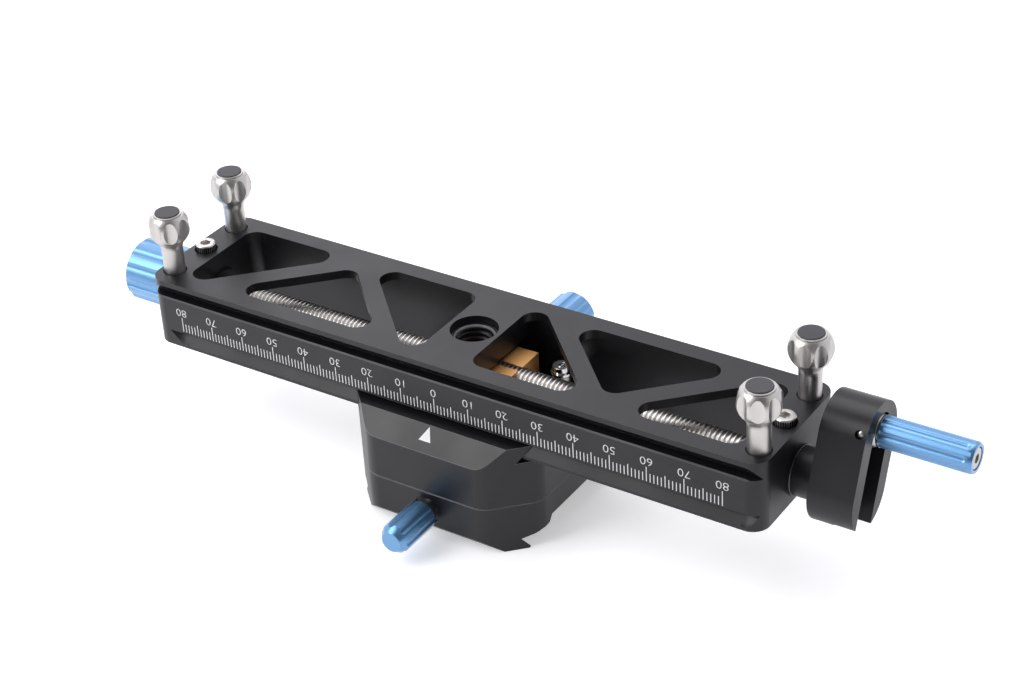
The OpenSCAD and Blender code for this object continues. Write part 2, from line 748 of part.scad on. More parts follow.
module left_knob() {
    depth = left_knob_len + left_hub_len;
    color(blue_c) translate([-left_face, 0, -screw_drop]) rotate([0, -90, 0]) difference() {
        union() {
            cylinder(h = left_hub_len + cut, r = left_hub_r);
            translate([0, 0, left_hub_len]) grip(left_knob_r, left_knob_len, knob_bevel,
                knob_bevel, left_knob_r - knob_bevel, left_flutes, left_flute_r, left_flute_h);
        }
        translate([0, 0, -cut]) cylinder(h = left_grip + cut, r = screw_r);
        translate([0, 0, depth - left_dish_h]) cylinder(h = left_dish_h + cut, r = left_dish_r);
        translate([0, 0, left_grub_at]) rotate([0, -90, 0]) cylinder(h = left_knob_r + cut, r = grub_r);
    }
}

module left_grub() {
    outer = left_knob_r - left_flute_h - grub_sink;
    color(steel_c) translate([-left_face - left_grub_at, 0, -screw_drop - outer])
        rotate([180, 0, 0]) grub(outer - screw_r);
}

// Crank and handle. Inside in_crank, Z points from the screw axis to the handle's pin.

module in_crank() {
    translate([0, 0, -screw_drop]) rotate([-crank_tilt, 0, 0]) children();
}

module stadium(low, high, r) {
    translate([0, -low]) circle(r);
    translate([0, high]) circle(r);
    translate([-r, -low]) square([2 * r, low + high]);
}

module crank_arm() {
    bore = slot_x - bore_end_wall;
    color(black_c) in_crank() difference() {
        union() {
            rod_x([left_face, 0, 0], crank_hub_len + cut, crank_hub_r);
            along_x(crank_face, crank_t) stadium(crank_low, crank_high, crank_r);
        }
        along_x(slot_x, crank_t) translate([0, pin_high]) circle(slot_w / 2);
        along_x(slot_x, crank_t) translate([-slot_w / 2, -crank_low - crank_r - cut])
            square([slot_w, pin_high + crank_low + crank_r + cut]);
        rod_x([left_face - cut, 0, 0], bore - left_face + cut, screw_r);
        rod_y([pin_x, -crank_r - cut, pin_high], 2 * (crank_r + cut), pin_r);
        rod_y([crank_face + crank_grub_at, 0, 0], crank_r + cut, grub_r);
    }
}

module crank_grub() {
    outer = crank_r - grub_sink;
    color(steel_c) in_crank() translate([crank_face + crank_grub_at, outer, 0])
        rotate([-90, 0, 0]) grub(outer - screw_r);
}

module handle_pin() {
    half = sqrt(crank_r * crank_r - (pin_high - crank_high) * (pin_high - crank_high)) - pin_sink;
    color(steel_c) in_crank() rod_y([pin_x, -half, pin_high], 2 * half, pin_r);
}

module handle_knuckle() {
    color(steel_c) in_crank() translate([0, 0, pin_high]) difference() {
        union() {
            intersection() {
                translate([pin_x, 0, 0]) rotate([90, 0, 0]) sphere(knuckle_r);
                translate([pin_x - knuckle_r - cut, -knuckle_half, -knuckle_r - cut])
                    cube([knuckle_r + cut + ring_x - pin_x, 2 * knuckle_half,
                        2 * (knuckle_r + cut)]);
            }
            rod_x([pin_x + pin_r, 0, 0], rod_end - pin_x - pin_r, rod_r);
        }
        rod_y([pin_x, -knuckle_r, 0], 2 * knuckle_r, pin_r + run_gap);
        rod_x([rod_end - end_stem_len - cut, 0, 0], end_stem_len + 2 * cut,
            end_stem_r + thread_gap);
    }
}

module handle_ring() {
    color(steel_c) in_crank() difference() {
        rod_x([ring_x, 0, pin_high], ring_t, ring_r);
        rod_x([ring_x - cut, 0, pin_high], ring_t + 2 * cut, rod_r);
    }
}

module handle_screw() {
    color(steel_c) in_crank() translate([rod_end, 0, pin_high]) rotate([0, 90, 0])
        cap_screw(end_head_r, end_head_h, end_stem_r, end_stem_len, end_hex_r, end_head_h / 2);
}

module handle_sleeve() {
    flute_end = sleeve_end - sleeve_collar - sleeve_flute_r;
    color(blue_c) in_crank() translate([0, 0, pin_high]) difference() {
        translate([sleeve_x + end_play, 0, 0]) rotate([0, 90, 0])
            rotate_extrude() polygon([[0, 0], [sleeve_r, 0],
                [sleeve_r, sleeve_len - knob_bevel], [sleeve_r - knob_bevel / 2, sleeve_len],
                [0, sleeve_len]]);
        rod_x([sleeve_x - cut, 0, 0], sleeve_len + 2 * cut, rod_r + run_gap);
        rod_x([rod_end, 0, 0], sleeve_recess + cut, end_head_r + run_gap);
        for (i = [0:sleeve_flutes - 1]) rotate([i * 360 / sleeve_flutes, 0, 0])
            translate([0, 0, sleeve_r + sleeve_flute_r - sleeve_flute_h]) {
                rod_x([sleeve_x - cut, 0, 0], flute_end - sleeve_x + cut, sleeve_flute_r);
                translate([flute_end, 0, 0]) sphere(sleeve_flute_r);
            }
    }
}

// Feet

module at_foot(i) {
    translate([corners[i][0] * (rail_end - corner_inset), corners[i][1] * foot_y, 0]) children();
}

// The concave neck between a stem and its ball, whose centre is at height 0.
module foot_neck() {
    share = (foot_r + foot_fillet) / (ball_r + foot_fillet);
    drop = (ball_r + foot_fillet) * sqrt(1 - share * share);
    translate([0, 0, -drop]) rotate_extrude() difference() {
        square([ball_r * share - cutter_bite, drop]);
        translate([foot_r + foot_fillet, 0]) circle(foot_fillet - corner_bite);
    }
}

module foot_screw(i) {
    color(steel_c) at_foot(i) difference() {
        union() {
            rod_z([0, 0, -foot_depth], foot_depth + ball_z, foot_r);
            intersection() {
                translate([0, 0, ball_z]) sphere(ball_r);
                rod_z([0, 0, ball_z - ball_low], ball_low + ball_top, ball_r + cut);
            }
            translate([0, 0, ball_z]) foot_neck();
            rod_z([0, 0, ball_z], ball_top + rim_h, rim_r);
        }
        for (k = [0:ball_hollows - 1]) rotate([0, 0, foot_turns[i] + k * 360 / ball_hollows])
            rod_z([ball_r + hollow_r - hollow_h, 0, ball_z - ball_r], 2 * ball_r, hollow_r);
        rod_z([0, 0, pad_z], pad_t + cut, pad_r + run_gap);
    }
}

module foot_pad(i) {
    color(rubber_c) at_foot(i) rod_z([0, 0, pad_z], pad_t, pad_r);
}

// Carriage

module on_carriage() {
    translate([carriage_x, 0, 0]) children();
}

module car_outline() {
    x = car_len / 2;
    y = car_half;
    rounded([[-x, -y + car_corner], [-x + car_corner, -y], [x - car_corner, -y],
        [x, -y + car_corner], [x, y - car_corner], [x - car_corner, y],
        [-x + car_corner, y], [-x, y - car_corner]], car_corner_r);
}

// The carriage's form before the guide bar is parted from it.
module carriage_form() {
    difference() {
        translate([0, 0, seam_z]) linear_extrude(hook_top - seam_z) car_outline();
        along_x(-car_len, 2 * car_len) {
            polygon([[-hook_half, hook_top + cut], [-hook_half, hook_top - hook_nose],
                [-relief_half, floor_z], [relief_half, floor_z],
                [hook_half, hook_top - hook_nose], [hook_half, hook_top + cut]]);
            for (side = sides) polygon([[side * (car_half - car_slope - cut), hook_top + cut],
                [side * (car_half + cut), hook_top - car_slope - cut],
                [side * (car_half + cut), hook_top + cut]]);
        }
    }
}

// The space of the bolted guide bar on the +Y side.
module bar_space(grow) {
    translate([-car_len, bar_seat, seam_z - cut])
        cube([2 * car_len, car_half, hook_top - seam_z + 2 * cut]);
    translate([-car_len, grow, floor_z]) cube([2 * car_len, car_w, hook_top - floor_z + cut]);
}

module bar_screw_places() {
    for (side = sides) translate([side * bar_screw_gap / 2, car_half - cap_head_h,
        seam_z + bar_screw_z]) rotate([-90, 0, 0]) children();
}

module lock_bore() {
    rod_y([0, rail_half, lock_axis], shoe_out - rail_half + run_gap, shoe_r + run_gap);
    rod_y([0, rail_half, lock_axis], car_half, spindle_r + run_gap);
}

module carriage_body() {
    color(black_c) on_carriage() difference() {
        carriage_form();
        bar_space(0);
        lock_bore();
        bar_screw_places() translate([0, 0, -bar_screw_len - cut])
            cylinder(h = bar_screw_len, r = cap_stem_r + thread_gap);
        bracket_places() rod_z([0, 0, floor_z - pan_grip - cut], pan_grip + 2 * cut,
            pan_stem_r + thread_gap);
        join_places() rod_z([0, 0, seam_z - cut], join_grip + 2 * cut,
            join_stem_r + thread_gap);
    }
}

module guide_bar() {
    color(black_c) on_carriage() difference() {
        intersection() {
            carriage_form();
            bar_space(0);
        }
        lock_bore();
        bar_screw_places() {
            translate([0, 0, -bar_screw_len]) cylinder(h = bar_screw_len + cut,
                r = cap_stem_r + thread_gap);
            cylinder(h = cap_head_h + cut, r = cap_recess_r);
        }
    }
}

module guide_bar_screws() {
    color(steel_c) on_carriage() bar_screw_places()
        cap_screw(cap_head_r, cap_head_h, cap_stem_r, bar_screw_len, cap_hex_r, cap_hex_h);
}

module glide_strips() {
    inner = channel_w / 2 + glide_inset;
    color(glide_c) on_carriage() for (side = sides) scale_side(side)
        translate([-glide_len / 2, inner, floor_z]) cube([glide_len, glide_w, floor_gap - glide_gap]);
}

// Nut and its bracket

module bracket_places() {
    for (c = corners) translate([c[0] * bracket_gap_x / 2, c[1] * bracket_gap_y / 2, 0]) children();
}

module nut_bolt_places() {
    for (c = corners) translate([c[0] * nut_bolt_gap_x / 2, c[1] * nut_bolt_gap_y / 2, 0])
        children();
}

module nut_bracket() {
    color(black_c) on_carriage() difference() {
        translate([0, 0, floor_z]) linear_extrude(bracket_t)
            rounded(rectangle(bracket_len, bracket_w), spacer_r);
        bracket_places() rod_z([0, 0, floor_z - cut], bracket_t + 2 * cut,
            pan_stem_r + thread_gap);
        nut_bolt_places() {
            rod_z([0, 0, floor_z - cut], bracket_t + 2 * cut, pan_stem_r + thread_gap);
            rod_z([0, 0, floor_z - cut], nut_bolt_head_h + cut, pan_r + thread_gap);
        }
    }
}

module drive_nut() {
    deep = nut_top + screw_drop;
    color(brass_c) on_carriage() difference() {
        translate([-nut_len / 2, -nut_w / 2, bracket_top]) cube([nut_len, nut_w, nut_h]);
        rod_x([-nut_len, 0, -screw_drop], 2 * nut_len, screw_r + run_gap);
        for (side = sides) {
            translate([side * (nut_cross_gap + nut_len) / 4 - (nut_len - nut_cross_gap) / 4 - cut,
                -nut_slit / 2, -screw_drop])
                cube([(nut_len - nut_cross_gap) / 2 + 2 * cut, nut_slit, deep + cut]);
            translate([side * nut_cross_gap / 2 - nut_cross / 2, -nut_w, -screw_drop])
                cube([nut_cross, 2 * nut_w, deep + cut]);
        }
        nut_bolt_places() rod_z([0, 0, bracket_top - cut], nut_bolt_grip + 2 * cut,
            pan_stem_r + thread_gap);
    }
}

module nut_bolts() {
    length = bracket_t + nut_bolt_grip;
    color(steel_c) on_carriage() nut_bolt_places() {
        rod_z([0, 0, floor_z], nut_bolt_head_h, pan_r);
        rod_z([0, 0, floor_z], length, pan_stem_r);
    }
}

module bracket_spacers() {
    color(steel_c) on_carriage() bracket_places() difference() {
        rod_z([0, 0, bracket_top], spacer_h, spacer_r);
        rod_z([0, 0, bracket_top - cut], spacer_h + 2 * cut, pan_stem_r + thread_gap);
    }
}

module bracket_washers() {
    color(steel_c) on_carriage() bracket_places() difference() {
        rod_z([0, 0, spacer_top], flat_washer_t, flat_washer_r);
        rod_z([0, 0, spacer_top - cut], flat_washer_t + 2 * cut, pan_stem_r + thread_gap);
    }
}

module bracket_screws() {
    stem = pan_z - floor_z + pan_grip;
    color(steel_c) on_carriage() bracket_places() difference() {
        union() {
            rod_z([0, 0, pan_z], pan_h, pan_r);
            rod_z([0, 0, pan_z - stem], stem + pan_h / 2, pan_stem_r);
        }
        for (turn = [0, 90]) rotate([0, 0, turn])
            translate([-cross_len / 2, -cross_w / 2, pan_z + pan_h - cross_h])
                cube([cross_len, cross_w, cross_h + cut]);
    }
}

// Clamp

// Underside of one jaw, from its outer face in to the recess, on the +Y side.
function jaw_line() = [
    [car_half + cut, base_z + clamp_bevel + cut],
    [car_half - clamp_bevel, base_z],
    [lip_half + lip_tip / 3, base_z],
    [lip_half, base_z + lip_tip],
    [jaw_half, base_z + jaw_corner_z],
    [ceiling_half, base_z + ceiling_z],
    [recess_half + recess_step, base_z + recess_step_z],
    [recess_half, base_z + recess_z]];

module join_places() {
    for (c = corners) translate([c[0] * join_gap_x / 2, join_mid_y + c[1] * join_gap_y / 2, 0])
        children();
}

module guide_places() {
    for (side = sides) translate([side * guide_gap / 2, 0, base_z + guide_z]) children();
}

module clamp_body() {
    far = car_half + cut;
    color(black_c) on_carriage() difference() {
        translate([0, 0, base_z]) linear_extrude(clamp_h) car_outline();
        along_x(-car_len, 2 * car_len) mirror([1, 0]) polygon(concat(
            [[far, base_z - cut], [far, base_z + clamp_bevel + cut]],
            [for (i = [1:7]) jaw_line()[i]],
            [[-fixed_end, base_z + recess_z], [-fixed_end, jaw_top], [-far, jaw_top],
             [-far, base_z - cut]]));
        rod_y([0, -car_half - cut, base_z + clamp_axis_z], car_w, clamp_screw_r + run_gap);
        rod_y([0, -car_half - cut, base_z + clamp_axis_z], clamp_ring_h + cut, clamp_ring_r);
        rod_y([0, -car_half, base_z + clamp_axis_z], clamp_ring_h + clamp_bush_len, clamp_bush_r);
        rod_y([0, -car_half, base_z + clamp_axis_z], neck_in + run_gap, neck_r + run_gap);
        guide_places() rod_y([0, fixed_end - guide_grip, 0], guide_grip + cut, guide_r);
        join_places() {
            rod_z([0, 0, base_z], clamp_h + cut, join_stem_r + thread_gap);
            rod_z([0, 0, base_z], recess_z + join_head_h + join_head_gap,
                join_head_r + join_head_gap);
        }
    }
}

module joining_screws() {
    head_z = base_z + recess_z + join_head_h + join_head_gap;
    color(steel_c) on_carriage() join_places() translate([0, 0, head_z]) rotate([180, 0, 0])
        cap_screw(join_head_r, join_head_h, join_stem_r, seam_z - head_z + join_grip,
            cap_hex_r, cap_hex_h);
}

module clamp_bush() {
    color(steel_c) on_carriage() difference() {
        rod_y([0, bush_in, base_z + clamp_axis_z], clamp_bush_len, clamp_bush_r);
        rod_y([0, bush_in - cut, base_z + clamp_axis_z], clamp_bush_len + 2 * cut,
            neck_r + run_gap);
    }
}

module clamp_screw() {
    start = -car_half - clamp_knob_gap;
    neck = clamp_knob_gap + neck_in;
    color(steel_c) on_carriage() {
        rod_y([0, start, base_z + clamp_axis_z], neck, neck_r);
        rod_y([0, start, base_z + clamp_axis_z], pin_end - start, clamp_screw_r);
    }
}

module clamp_knob() {
    color(blue_c) on_carriage()
        translate([0, -car_half - clamp_knob_gap, base_z + clamp_axis_z]) rotate([90, 0, 0])
            grip(clamp_knob_r, clamp_knob_len, knob_bevel, clamp_cone, clamp_disc_r,
                clamp_flutes, clamp_flute_r, clamp_flute_h);
}

module clamp_jaw() {
    top = jaw_top - jaw_lift;
    color(black_c) on_carriage() difference() {
        intersection() {
            translate([0, 0, base_z]) linear_extrude(clamp_h) car_outline();
            along_x(-car_len, 2 * car_len)
                polygon(concat([[car_half + cut, top]], jaw_line(), [[recess_half, top]]));
        }
        rod_y([0, recess_half - cut, base_z + clamp_axis_z], jaw_reach + 2 * cut + jaw_travel,
            clamp_screw_r + run_gap);
        guide_places() rod_y([0, recess_half - cut, 0], jaw_reach + 2 * cut + jaw_travel,
            guide_r + run_gap);
    }
}

module jaw_guide_pins() {
    color(steel_c) on_carriage() guide_places()
        rod_y([0, fixed_end - guide_grip, 0], pin_end - fixed_end + guide_grip, guide_r);
}

// Lock

module lock_shoe() {
    color(brass_c) on_carriage() rod_y([0, shoe_in, lock_axis], shoe_t, shoe_r);
}

module lock_spindle() {
    color(steel_c) on_carriage()
        rod_y([0, shoe_out, lock_axis], lock_face + spindle_grip - shoe_out, spindle_r);
}

module lock_knob() {
    color(blue_c) on_carriage() difference() {
        translate([0, lock_face, lock_axis]) rotate([-90, 0, 0])
            grip(lock_knob_r, lock_knob_len, knob_bevel, lock_cone, lock_disc_r,
                lock_flutes, lock_flute_r, lock_flute_h);
        rod_y([0, lock_face - cut, lock_axis], spindle_grip + cut, spindle_r);
    }
}

// Which nodes are drawn

function drawn(name) = node == "all" || node == name;

if (drawn("rail_body")) rail_body();
if (drawn("tripod_insert")) tripod_insert();
if (drawn("screw_bushes")) screw_bushes();
if (drawn("thrust_washers")) thrust_washers();
if (drawn("bush_screws")) bush_screws();
if (drawn("lead_screw")) lead_screw();
if (drawn("left_knob")) left_knob();
if (drawn("left_grub")) left_grub();
if (drawn("crank_arm")) crank_arm();
if (drawn("crank_grub")) crank_grub();
if (drawn("handle_pin")) handle_pin();
if (drawn("handle_knuckle")) handle_knuckle();
if (drawn("handle_ring")) handle_ring();
if (drawn("handle_screw")) handle_screw();
if (drawn("handle_sleeve")) handle_sleeve();
for (i = [0:3]) if (drawn(str("foot_screw_", i + 1))) foot_screw(i);
for (i = [0:3]) if (drawn(str("foot_pad_", i + 1))) foot_pad(i);
if (drawn("carriage_body")) carriage_body();
if (drawn("guide_bar")) guide_bar();
if (drawn("guide_bar_screws")) guide_bar_screws();
if (drawn("glide_strips")) glide_strips();
if (drawn("nut_bracket")) nut_bracket();
if (drawn("drive_nut")) drive_nut();
if (drawn("nut_bolts")) nut_bolts();
if (drawn("bracket_spacers")) bracket_spacers();
if (drawn("bracket_washers")) bracket_washers();
if (drawn("bracket_screws")) bracket_screws();
if (drawn("clamp_body")) clamp_body();
if (drawn("joining_screws")) joining_screws();
if (drawn("clamp_bush")) clamp_bush();
if (drawn("clamp_screw")) clamp_screw();
if (drawn("clamp_knob")) clamp_knob();
if (drawn("clamp_jaw")) clamp_jaw();
if (drawn("jaw_guide_pins")) jaw_guide_pins();
if (drawn("lock_shoe")) lock_shoe();
if (drawn("lock_spindle")) lock_spindle();
if (drawn("lock_knob")) lock_knob();
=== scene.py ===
import json
import math
import bpy
import bmesh
from mathutils import Matrix, Vector


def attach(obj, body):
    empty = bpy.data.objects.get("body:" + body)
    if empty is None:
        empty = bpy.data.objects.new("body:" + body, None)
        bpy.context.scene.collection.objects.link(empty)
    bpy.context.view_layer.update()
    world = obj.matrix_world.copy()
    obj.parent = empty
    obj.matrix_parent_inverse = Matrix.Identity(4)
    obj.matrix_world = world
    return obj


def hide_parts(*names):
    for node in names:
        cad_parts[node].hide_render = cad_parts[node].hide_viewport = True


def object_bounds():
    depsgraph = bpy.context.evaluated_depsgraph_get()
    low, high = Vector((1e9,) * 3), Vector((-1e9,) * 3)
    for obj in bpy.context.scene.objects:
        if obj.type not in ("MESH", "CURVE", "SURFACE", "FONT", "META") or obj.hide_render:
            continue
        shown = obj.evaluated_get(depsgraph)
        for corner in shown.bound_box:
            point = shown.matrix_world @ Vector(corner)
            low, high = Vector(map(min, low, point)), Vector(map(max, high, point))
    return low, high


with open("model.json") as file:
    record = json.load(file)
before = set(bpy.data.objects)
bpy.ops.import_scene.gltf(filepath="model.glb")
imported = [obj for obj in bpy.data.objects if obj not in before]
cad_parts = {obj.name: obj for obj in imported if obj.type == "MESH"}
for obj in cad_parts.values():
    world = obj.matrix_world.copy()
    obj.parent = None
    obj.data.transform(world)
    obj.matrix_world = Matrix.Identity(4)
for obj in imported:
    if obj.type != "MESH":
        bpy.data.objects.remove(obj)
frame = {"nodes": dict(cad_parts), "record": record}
cad_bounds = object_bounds()
bpy.context.scene.view_settings.view_transform = "Standard"

MM = 0.001
RECORD = frame["record"]
BODY_OF = {node: body for body, nodes in RECORD["behaviour"]["bodies"].items() for node in nodes}
SLOT_OF = {part["node"]: part["material_slot"] for part in RECORD["subparts"]}

# Places of the CAD model that the dressed pieces sit on, in millimetres
SCREW_AXIS_Z = -12.2
SCREW_LEFT, SCREW_RIGHT, BUSH_FLANGE = -104.55, 100.5, 80.5
FRONT_FACE_Y, SCALE_FOOT_Z = -19.1, -13.9
FOOT_X, FOOT_Y = 86, 12.8
FOOT_PLACES = {"1": (-FOOT_X, -FOOT_Y), "2": (FOOT_X, -FOOT_Y),
               "3": (-FOOT_X, FOOT_Y), "4": (FOOT_X, FOOT_Y)}
FOOT_CUT_Z, FOOT_LOW_Z, FOOT_SHANK_LEN = -1, -12, 11.2
CARRIAGE_X = 1.2
CRANK_X, CRANK_TILT, PIN_HIGH = 106, 20.4, 14.7
CLAMP_AXIS_Z, CLAMP_NECK_Y, CLAMP_THREAD_Y, CLAMP_THREAD_LEN = -37.9, -28.7, -19.2, 42.3
TRIPOD_LOW_Z = -7
BAR_HEAD_Y, BAR_HEAD_Z, BAR_HEAD_X = 24.4, -26.5, 12

# Sizes of the dressed pieces, in millimetres
SHAFT_R, SHAFT_BEVEL = 4, 0.4
LEFT_SHAFT_LEN, LEFT_SHAFT_END_BEVEL, RIGHT_SHAFT_LEN = 24.2, 0.1, 20.7
THREAD_END_GAP = 0.5
PIN_R, PIN_LEN = 1.05, 16.2
NECK_R, NECK_LEN, NECK_BEVEL_R, NECK_BEVEL_LEN = 2.5, 9.5, 0.2, 0.3
LEAD_THREAD = {"radius": 4, "depth": 0.62, "pitch": 1.25, "sides": 40}
FOOT_THREAD = {"radius": 2.85, "depth": 0.5, "pitch": 1, "sides": 28}
CLAMP_THREAD = {"radius": 1.9, "depth": 0.35, "pitch": 0.7, "sides": 24, "runout": 0.4}
TRIPOD_THREAD_R, TRIPOD_THREAD_DEPTH, TRIPOD_PITCH, TRIPOD_LEN = 4.72, 0.55, 1.5875, 4.5
TRIPOD_WALL, TRIPOD_RUNOUT = 0.03, 0.05
KNURL_R, KNURL_RIDGE, KNURL_COUNT = 2.62, 0.2, 30
BUSH_KNURL_Z, BUSH_KNURL_LEN, BAR_KNURL_LEN = -0.8, 2.3, 2.2
PRINT_T = 0.03
MARK_COUNT, MARK_PITCH, MARK_W = 161, 1, 0.22
MARK_SHORT, MARK_MIDDLE, MARK_LONG = 2.4, 3.2, 4.1
DIGIT_H, DIGIT_GAP, DIGIT_STRETCH, DIGIT_THINNING = 2.15, 0.45, 1.15, -0.012
SCALE_END, NUMBER_STEP = 80, 10
POINTER_SHIFT, POINTER_HALF_W = -0.45, 1.75
POINTER_APEX_YZ, POINTER_BASE_YZ = (-22.5, -15.9), (-25.15, -18.55)

# Edges that meet at more than this many degrees are drawn sharp, or get a bevel
SHARP_ANGLE, THREAD_SHARP_ANGLE, PIN_SHARP_ANGLE = 32, 25, 50
BEVEL_STEPS, FOOT_BEVEL = 2, 0.1
# Points closer than this, in millimetres, and faces flatter than this, in degrees, are joined
MERGE_GAP, FLAT_ANGLE = 0.002, 0.4
LARGE_SIDES, SMALL_SIDES = 48, 32

# World directions of a piece's own X, Y and Z
UPRIGHT = ((1, 0, 0), (0, 1, 0), (0, 0, 1))
ALONG_X = ((0, 0, -1), (0, 1, 0), (1, 0, 0))
ALONG_Y = ((1, 0, 0), (0, 0, -1), (0, 1, 0))


# Camera

def make_camera():
    """The photograph's view: 34.5 degrees right of the scale face, 31.8 degrees up."""
    azimuth, elevation, roll = (math.radians(a) for a in (34.51, 31.78, -3.24))
    target, distance = Vector((87.8, -111.5, 83.5)) * MM, 398.2 * MM
    back = Vector((math.sin(azimuth) * math.cos(elevation),
                   -math.cos(azimuth) * math.cos(elevation), math.sin(elevation)))
    flat_right = Vector((math.cos(azimuth), math.sin(azimuth), 0))
    flat_up = back.cross(flat_right)
    right = math.cos(roll) * flat_right + math.sin(roll) * flat_up
    up = -math.sin(roll) * flat_right + math.cos(roll) * flat_up
    camera = bpy.data.cameras.new("camera")
    focal_pixels, image_width = 2264, 1024
    camera.sensor_width = 36
    camera.lens = focal_pixels / image_width * camera.sensor_width
    camera.clip_start, camera.clip_end = 0.01, 20
    obj = bpy.data.objects.new("camera", camera)
    obj.matrix_world = Matrix((right, up, back)).transposed().to_4x4()
    obj.matrix_world.translation = target + back * distance
    bpy.context.scene.collection.objects.link(obj)
    bpy.context.scene.camera = obj


# Node helpers

def sockets(tree, kind, entries):
    """Gives a node group its named inputs or outputs."""
    for name, socket, *default in entries:
        made = tree.interface.new_socket(name=name, in_out=kind, socket_type="NodeSocket" + socket)
        if default:
            made.default_value = default[0]


def add(tree, kind, values=None, **settings):
    """A node with its settings, whose inputs are given as values or as links."""
    node = tree.nodes.new(kind)
    for key, value in settings.items():
        setattr(node, key, value)
    for key, value in (values or {}).items():
        if isinstance(value, bpy.types.NodeSocket):
            tree.links.new(value, node.inputs[key])
        else:
            node.inputs[key].default_value = value
    return node


def maths(tree, operation, *values):
    """The output of a math node."""
    node = add(tree, "ShaderNodeMath", dict(enumerate(values)), operation=operation)
    return node.outputs[0]


# Surface effects that several finishes share

def fine_grain_group():
    """Fine blasted or turned grain: a height and a changing roughness."""
    tree = bpy.data.node_groups.new("fine_grain", "ShaderNodeTree")
    sockets(tree, "INPUT", [("Scale", "Float", 4000), ("Stretch", "Vector", (1, 1, 1)),
                            ("Roughness", "Float", 0.4), ("Shift", "Float", 0.08)])
    sockets(tree, "OUTPUT", [("Height", "Float"), ("Roughness", "Float")])
    given, out = add(tree, "NodeGroupInput").outputs, add(tree, "NodeGroupOutput")
    place = add(tree, "ShaderNodeTexCoord").outputs["Object"]
    spread = add(tree, "ShaderNodeMapping", {"Vector": place, "Scale": given["Stretch"]})
    fine = add(tree, "ShaderNodeTexNoise", {"Vector": spread.outputs[0], "Scale": given["Scale"],
                                            "Detail": 3})
    broad = add(tree, "ShaderNodeTexNoise", {"Vector": spread.outputs[0], "Scale": 60,
                                             "Detail": 4})
    patches = add(tree, "ShaderNodeMapRange", {"Value": broad.outputs["Fac"], "From Min": 0.3,
                                               "From Max": 0.7, "To Min": -1, "To Max": 1})
    rough = maths(tree, "MULTIPLY_ADD", patches.outputs[0], given["Shift"], given["Roughness"])
    tree.links.new(fine.outputs["Fac"], out.inputs["Height"])
    tree.links.new(rough, out.inputs["Roughness"])
    return tree


def bright_edge_group():
    """Colour that turns to the lighter edge colour on broken edges, a painted highlight, with a
    slight mottle.
    """
    tree = bpy.data.node_groups.new("painted_edge_highlight", "ShaderNodeTree")
    sockets(tree, "INPUT", [("Base", "Color", (0.05, 0.05, 0.05, 1)),
                            ("Edge", "Color", (0.3, 0.3, 0.3, 1)), ("Amount", "Float", 0.6),
                            ("Mottle", "Float", 0.15)])
    sockets(tree, "OUTPUT", [("Color", "Color")])
    given, out = add(tree, "NodeGroupInput").outputs, add(tree, "NodeGroupOutput")
    place = add(tree, "ShaderNodeTexCoord").outputs["Object"]
    noise = add(tree, "ShaderNodeTexNoise", {"Vector": place, "Scale": 260, "Detail": 5})
    rim = add(tree, "ShaderNodeAttribute", attribute_name="rim").outputs["Fac"]
    strength = maths(tree, "MULTIPLY", maths(tree, "MULTIPLY", rim, given["Amount"]),
                     maths(tree, "ADD", noise.outputs["Fac"], 0.4))
    mottled = add(tree, "ShaderNodeMix", {0: given["Mottle"], 6: given["Base"],
                                          7: noise.outputs["Fac"]},
                  data_type="RGBA", blend_type="OVERLAY")
    # Painted highlight: the faces of the broken edges are mixed towards the lighter edge colour
    highlighted = add(tree, "ShaderNodeMix", {0: strength, 6: mottled.outputs[2], 7: given["Edge"]},
               data_type="RGBA")
    tree.links.new(highlighted.outputs[2], out.inputs["Color"])
    return tree


GRAIN = fine_grain_group()
EDGE_HIGHLIGHT = bright_edge_group()


def finish(name, color, edge, metallic, roughness, grain=4000, stretch=(1, 1, 1), bump=0.05,
           shift=0.06, amount=0.6, mottle=0.15, specular=0.5, coat=0):
    """A material with grain and a painted highlight in the lighter edge colour on its broken
    edges. Metallic, specular and coat are uniform.
    """
    material = bpy.data.materials.new(name)
    material.use_nodes = True
    tree = material.node_tree
    shader = tree.nodes["Principled BSDF"]
    shader.inputs["Metallic"].default_value = metallic
    shader.inputs["Specular IOR Level"].default_value = specular
    shader.inputs["Coat Weight"].default_value = coat
    shader.inputs["Coat Roughness"].default_value = roughness
    edges = add(tree, "ShaderNodeGroup", {"Base": (*color, 1), "Edge": (*edge, 1),
                                          "Amount": amount, "Mottle": mottle},
                node_tree=EDGE_HIGHLIGHT)
    texture = add(tree, "ShaderNodeGroup", {"Scale": grain, "Stretch": stretch,
                                            "Roughness": roughness, "Shift": shift},
                  node_tree=GRAIN)
    relief = add(tree, "ShaderNodeBump", {"Strength": bump, "Distance": 0.02 * MM,
                                          "Height": texture.outputs["Height"]})
    tree.links.new(edges.outputs["Color"], shader.inputs["Base Color"])
    tree.links.new(texture.outputs["Roughness"], shader.inputs["Roughness"])
    tree.links.new(relief.outputs["Normal"], shader.inputs["Normal"])
    return material
